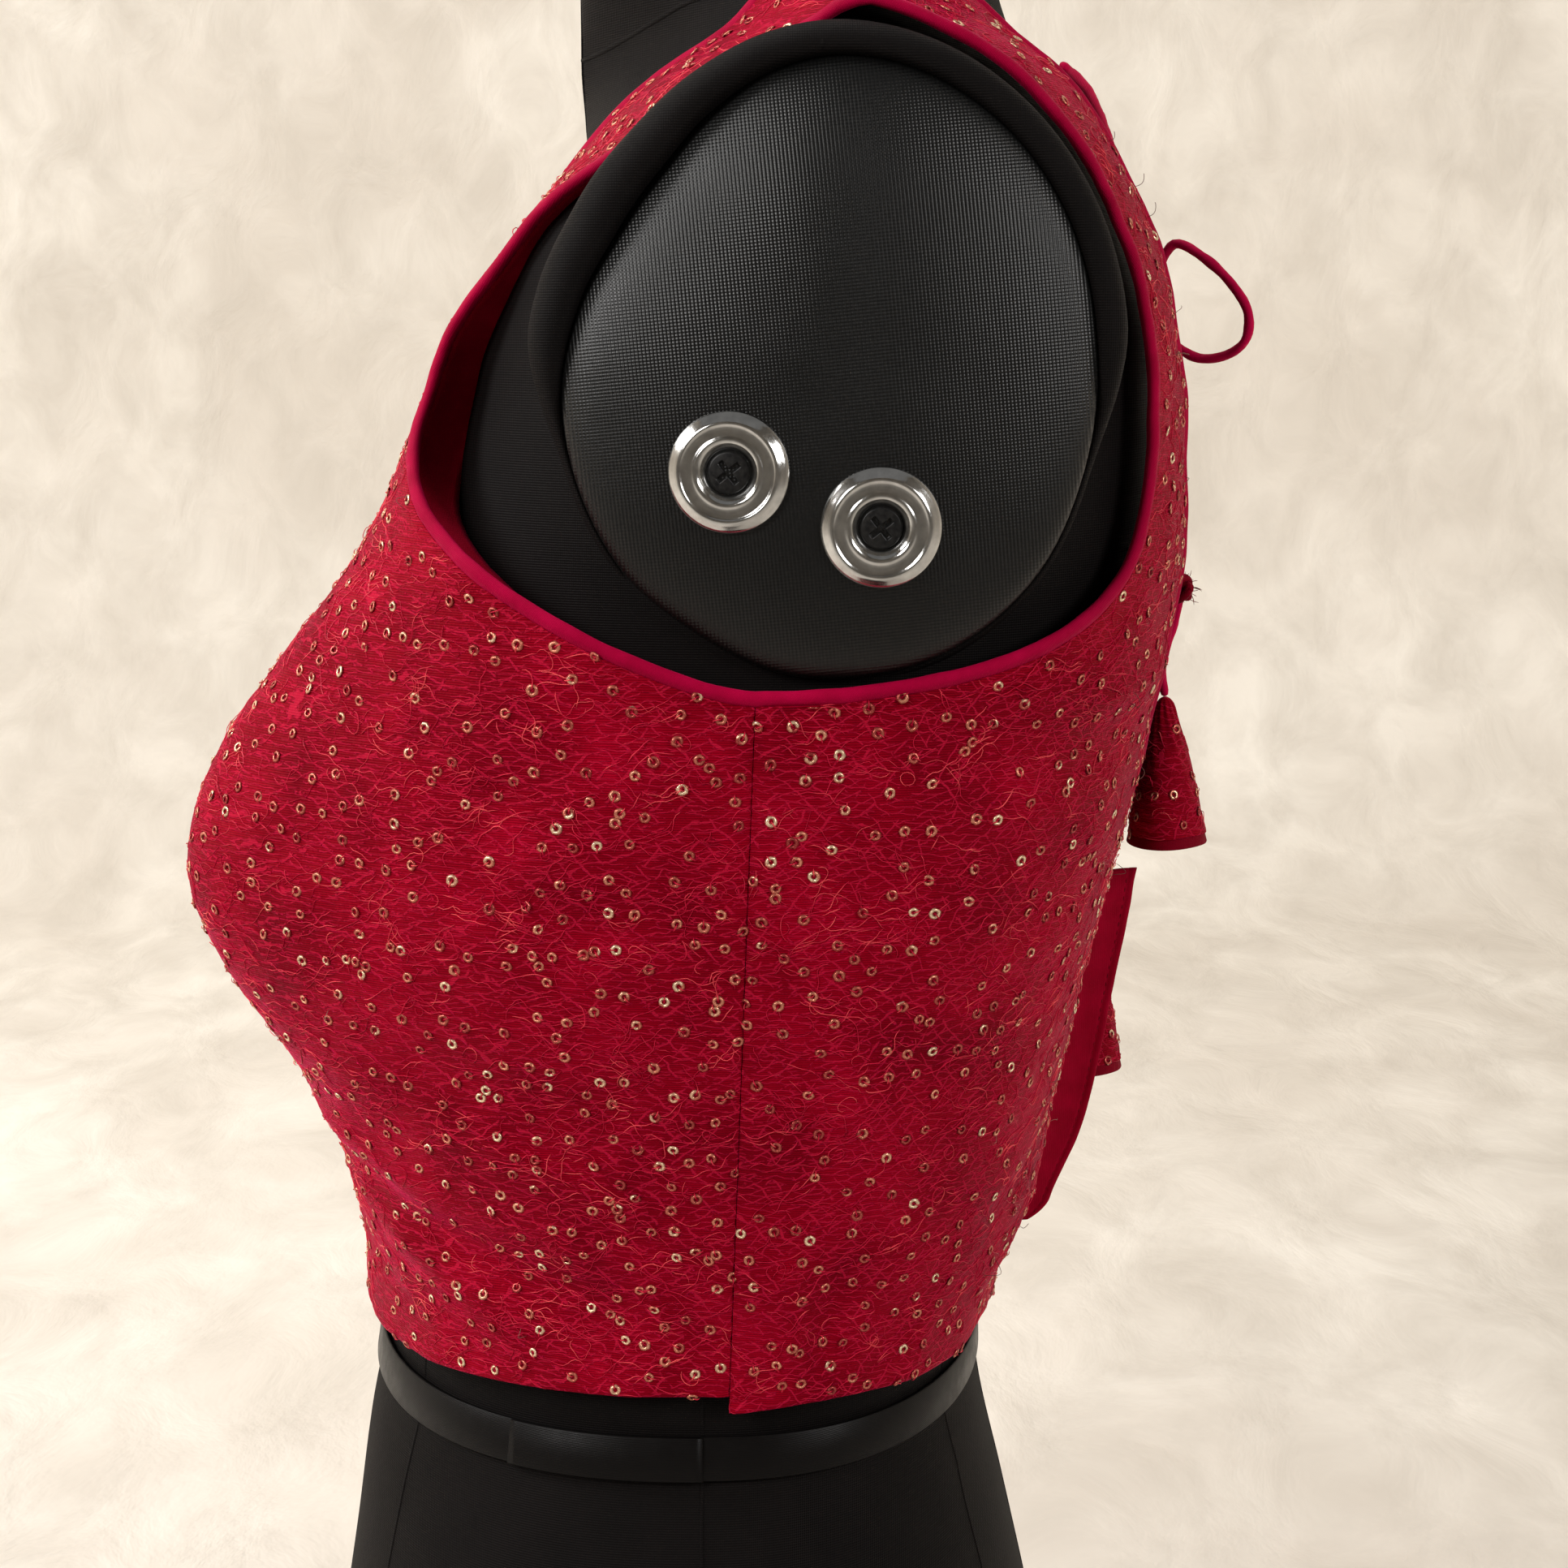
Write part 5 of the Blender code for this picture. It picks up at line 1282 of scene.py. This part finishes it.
LATKAN_LENGTH, LATKAN_PLUG, LATKAN_WALL = 45.0, 40.6, 0.55
LATKAN_PROFILE = (
    (-0.5, 0.5), (0, 1.45), (1.5, 2.6), (8, 4.4), (17, 6.8), (27, 9.2), (39.7, 11.5), (41.6, 11.95))
BAND_RINGS = (
    (0.4, 3.0), (0.4, 9.0), (0.4, 11.0), (0.9, 11.35), (2.0, 11.55), (3.4, 11.9), (4.5, 12.15),
    (4.9, 12.0), (5.0, 11.6), (4.9, 11.1), (4.4, 10.6), (3.8, 9.6), (3.5, 7.0), (3.4, 3.0))


def latkan(tag, top, lean):
    """Gathered cone of the blouse cloth with a plain hem band."""
    axis = unit(np.array([lean[0], lean[1], -1.0]))
    right = unit(np.cross(axis, (0.0, 1.0, 0.0)))
    ahead = np.cross(axis, right)
    sides = 96
    a = circle(sides)
    around = np.cos(a)[:, None] * right + np.sin(a)[:, None] * ahead

    def gathered(h):
        lobes = 1 + 0.06 * np.sin(3 * a + 0.6) * min(1.0, max(h, 0) / 20.0)
        pleats = (0.07 * math.exp(-max(h, 0) / 11.0) * np.sin(11 * a + 0.4 * h)
                  + 0.014 * np.sin(5 * a + 0.13 * h + 2))
        return lobes + pleats * min(1.0, max(h, 0.0) / 2.0)

    def ring(start, h, radius):
        return start + axis * h + around * (radius if np.ndim(radius) == 0 else radius[:, None])

    h = np.concatenate([[-0.5, -0.3, 0.0, 0.5, 1.0], np.arange(1.8, 41.0, 1.0), [41.3, 41.6]])
    radius = eased(LATKAN_PROFILE, h)
    top = np.array(top)
    outer = np.array([ring(top, hh, r * gathered(hh)) for hh, r in zip(h, radius)])
    inner = [ring(top, hh, (eased(LATKAN_PROFILE, np.array([hh]))[0] - LATKAN_WALL) * gathered(hh))
             for hh in (41.3, LATKAN_PLUG)]
    rows = np.array([*outer, *inner, *(ring(top, LATKAN_PLUG, r) for r in (6.0, 1.0))])
    faces = capped(grid_quads(len(rows), sides, True), len(rows), sides)
    cone = piece(f"latkan_cone_{tag}", rows, faces, BROCADE)
    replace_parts(cone, f"latkan_{tag}")
    foot = top + axis * (LATKAN_LENGTH - 5.0)
    rings = np.array([ring(foot, hh, r * (1 + 0.06 * np.sin(3 * a + 0.6))) for hh, r in BAND_RINGS])
    faces = capped(grid_quads(len(rings), sides, True), len(rings), sides)
    band = piece(f"latkan_hem_{tag}", rings, faces, BAND)
    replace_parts(band, f"latkan_band_{tag}")
    bare = 12      # rings below the knot that carry no thread work
    skin = Skin((outer[bare:].reshape(-1, 3), grid_quads(len(h) - bare, sides, True)))
    count = int(skin.area.sum() / THREAD_SPACE)
    trim = [stitched_threads(f"threads_latkan_{tag}", skin, count, 70 + len(tag))]
    trim += sequins(f"sequins_latkan_{tag}", skin, int(skin.area.sum() / LATKAN_SEQUIN_SPACE), 80 + len(tag))
    return [cone, band, *trim]


def leave(centre, way, near=3.4, far=8.0):
    """First two points of a cord that comes out of a knot."""
    return [tuple(np.array(centre) + unit(np.array(way)) * reach) for reach in (near, far)]


BOW, UPPER_KNOT, LOWER_KNOT = (0.0, 140.0, 312.0), (4.0, 152.6, 225.6), (-23.7, 136.0, 144.8)
tied_knot("bow_knot", BOW, (6.0, 4.9, 6.0), CORD_LOOK, "dori_knot", tilt=0.5)
for side_name, side in (("left", 1), ("right", -1)):
    strap = [(side * x, y, z) for x, y, z in ((92, 104.5, 369), (80, 112, 364.5), (65, 118.5, 356.5),
                                              (42, 127, 341), (22, 133, 325.8))]
    cord(f"tie_{side_name}", strap + leave(BOW, (side * 0.82, -0.25, 0.51))[::-1], [f"dori_{side_name}"])
LOOP_LEFT = ((7.5, 147.5, 327.3), (13, 155.6, 323), (17, 163, 315.5), (19, 167.6, 307.5),
             (18.5, 167.2, 299.5), (14.5, 161.8, 295), (10.5, 153.5, 294.8))
LOOP_RIGHT = ((-13, 147, 321), (-24, 148.5, 318), (-32, 150, 306), (-30, 150, 294), (-20, 148, 291))
TAIL_LEFT = ((3.2, 141.8, 290), (3.2, 142.4, 268), (4, 145.5, 248), (4, 151.2, 234), (4, 152.6, 226),
             (3.5, 151.0, 215), (3.0, 147.8, 202), (3.0, 149.0, 193.2))
TAIL_RIGHT = ((-6, 145, 288), (-12, 148.5, 258), (-17, 147.5, 225), (-21, 141, 190), (-23.2, 137.2, 158),
              (-23.8, 136, 144.8), (-24.1, 134, 133), (-24.3, 131.6, 122), (-24.3, 130.6, 113.7))
for tag, out, route, back in (("left", (0.45, 0.35, 0.82), LOOP_LEFT, (0.6, 0.2, -0.78)),
                              ("right", (-0.55, 0.5, 0.67), LOOP_RIGHT, (-0.8, 0.3, -0.5))):
    cord(f"loop_{tag}", [*leave(BOW, out), *route, *leave(BOW, back)[::-1]], [f"bow_loop_{tag}"])
knots = {"left": (UPPER_KNOT, (4.6, 4.7, 4.9)), "right": (LOWER_KNOT, (4.5, 4.5, 4.7))}
tassels = {}
for tag, (centre, size) in knots.items():
    tassels[tag] = [tied_knot(f"tail_knot_{tag}", centre, size, BAND,
                              f"latkan_knot_{tag}", tilt=1.3, thick=1.5),
                    frayed(f"tail_fibres_{tag}", centre, size, 44, 3.4, BAND,
                           90 + len(tag))]
for tag, top, lean in (("left", (3.0, 149.1, 192.2), (0.0, 0.03)),
                       ("right", (-24.3, 130.6, 112.7), (0.0, -0.02))):
    tassels[tag] += latkan(tag, top, lean)
for tag, out, route in (("left", (0.3, 0.05, -0.95), TAIL_LEFT), ("right", (-0.28, 0.2, -0.94), TAIL_RIGHT)):
    cord(f"tail_{tag}", [*leave(BOW, out), *route], [f"dori_tail_{tag}", f"latkan_string_{tag}"])


# Loose threads.

def loose_threads(name, skin, spots, seed):
    """Fine loops and ends that stand off the cloth near the given spots."""
    draw = np.random.default_rng(seed)
    tree = BVHTree.FromPolygons(skin[0].tolist(), skin[1].tolist())
    paths, normals = [], []
    for spot in spots:
        at, up, _, _ = tree.find_nearest(spot)
        at, up = np.array(at), np.array(up)
        across = unit(np.cross(up, unit(draw.normal(size=3))))
        t = np.linspace(0, 1, 9)[:, None]
        reach, run = draw.uniform(1.6, 4.2), draw.uniform(2.0, 6.5)
        rise = np.sin(t * math.pi * draw.choice((0.55, 1.0))) * reach
        paths.append(at + rise * up + t * run * across + 0.5 * np.sin(t * 7 + seed) * np.cross(up, across))
        normals.append(np.tile(np.cross(up, across), (9, 1)))
    points, faces = prism(paths, normals, [0.17] * len(paths), 0.14)
    return piece(name, points, faces, STRAY)


spots = [
    (82, 116, 352), (90, 122, 338), (96, 126, 330), (104, 130, 305), (100, 133, 296), (92, 138, 262),
    (30, 139, 60), (70, 128, 36), (88, 122, 92), (60, 140, 150), (110, 118, 210), (52, 141, 190),
    (118, 100, 84), (96, 119, 34)]
loose = [loose_threads("loose_threads_back_left", back_left_skin, spots, 5),
         loose_threads("loose_threads_back_right", back_right_skin, [(-x, y, z) for x, y, z in spots[3:]], 6),
         loose_threads("loose_threads_front", front_skin,
                       [(96, -112, 172), (120, -92, 120), (60, -118, 84), (132, -44, 34), (128, -50, 268),
                        (88, -74, 40), (-96, -112, 160), (-70, -110, 90), (-130, -40, 36), (-126, -52, 266)],
                       7)]
for extra, key in zip(loose, ("back_left", "back_right", "front")):
    trims[key].append(extra)


# Stage.

def stage():
    """Floor that curves up into a wall on every side: pale, with painted shade on the camera's side for the
    dim room behind the camera.
    """
    sides = 96
    a = circle(sides)
    profile = [(0.02, 0.0), (0.6, 0.0), (1.2, 0.0)]
    profile += [(1.5 + 0.5 * math.sin(t), 0.5 - 0.5 * math.cos(t)) for t in np.linspace(0, math.pi / 2, 12)]
    profile += [(2.0, 1.2), (2.0, 3.0)]
    rows = np.array([np.stack([r * np.cos(a), r * np.sin(a), 0 * a + h], -1) for r, h in profile])
    mesh = bpy.data.meshes.new("studio_floor")
    faces = [tuple(f) for f in grid_quads(len(rows), sides, True)] + [tuple(range(sides))]
    mesh.from_pydata(rows.reshape(-1, 3).tolist(), [], faces)
    mesh.materials.append(GROUND)
    mesh.polygons.foreach_set("use_smooth", np.full(len(mesh.polygons), True))
    made = bpy.data.objects.new("studio_floor", mesh)
    bpy.context.scene.collection.objects.link(made)


def lamp(name, place_at, aim, size, power, colour=(1.0, 1.0, 1.0)):
    data = bpy.data.lights.new(name, "AREA")
    data.shape, data.size, data.size_y = "RECTANGLE", *size
    data.energy, data.color = power, colour
    made = bpy.data.objects.new(name, data)
    made.location = place_at
    made.rotation_euler = (Vector(aim) - Vector(place_at)).to_track_quat("-Z", "Y").to_euler()
    bpy.context.scene.collection.objects.link(made)


stage()
lamp("key", (1.12, -1.0, 1.16), (0.1, 0.0, 0.46), (0.45, 0.6), 15.5, (1.0, 0.985, 0.965))
lamp("front", (0.15, -1.5, 1.35), (0.0, -0.05, 0.45), (0.6, 0.6), 23.0, (1.0, 0.98, 0.97))
lamp("fill", (0.95, 1.25, 1.0), (0.0, 0.14, 0.45), (0.6, 0.6), 13.0, (1.0, 0.985, 0.975))
lamp("wall", (-0.7, -0.45, 2.4), (-2.0, -0.55, 0.6), (0.6, 1.6), 26.0, (1.0, 0.98, 0.955))
world = bpy.data.worlds.new("soft_room")
world.use_nodes = True
world.node_tree.nodes["Background"].inputs["Color"].default_value = (1.0, 0.985, 0.965, 1.0)
world.node_tree.nodes["Background"].inputs["Strength"].default_value = 0.19
bpy.context.scene.world = world
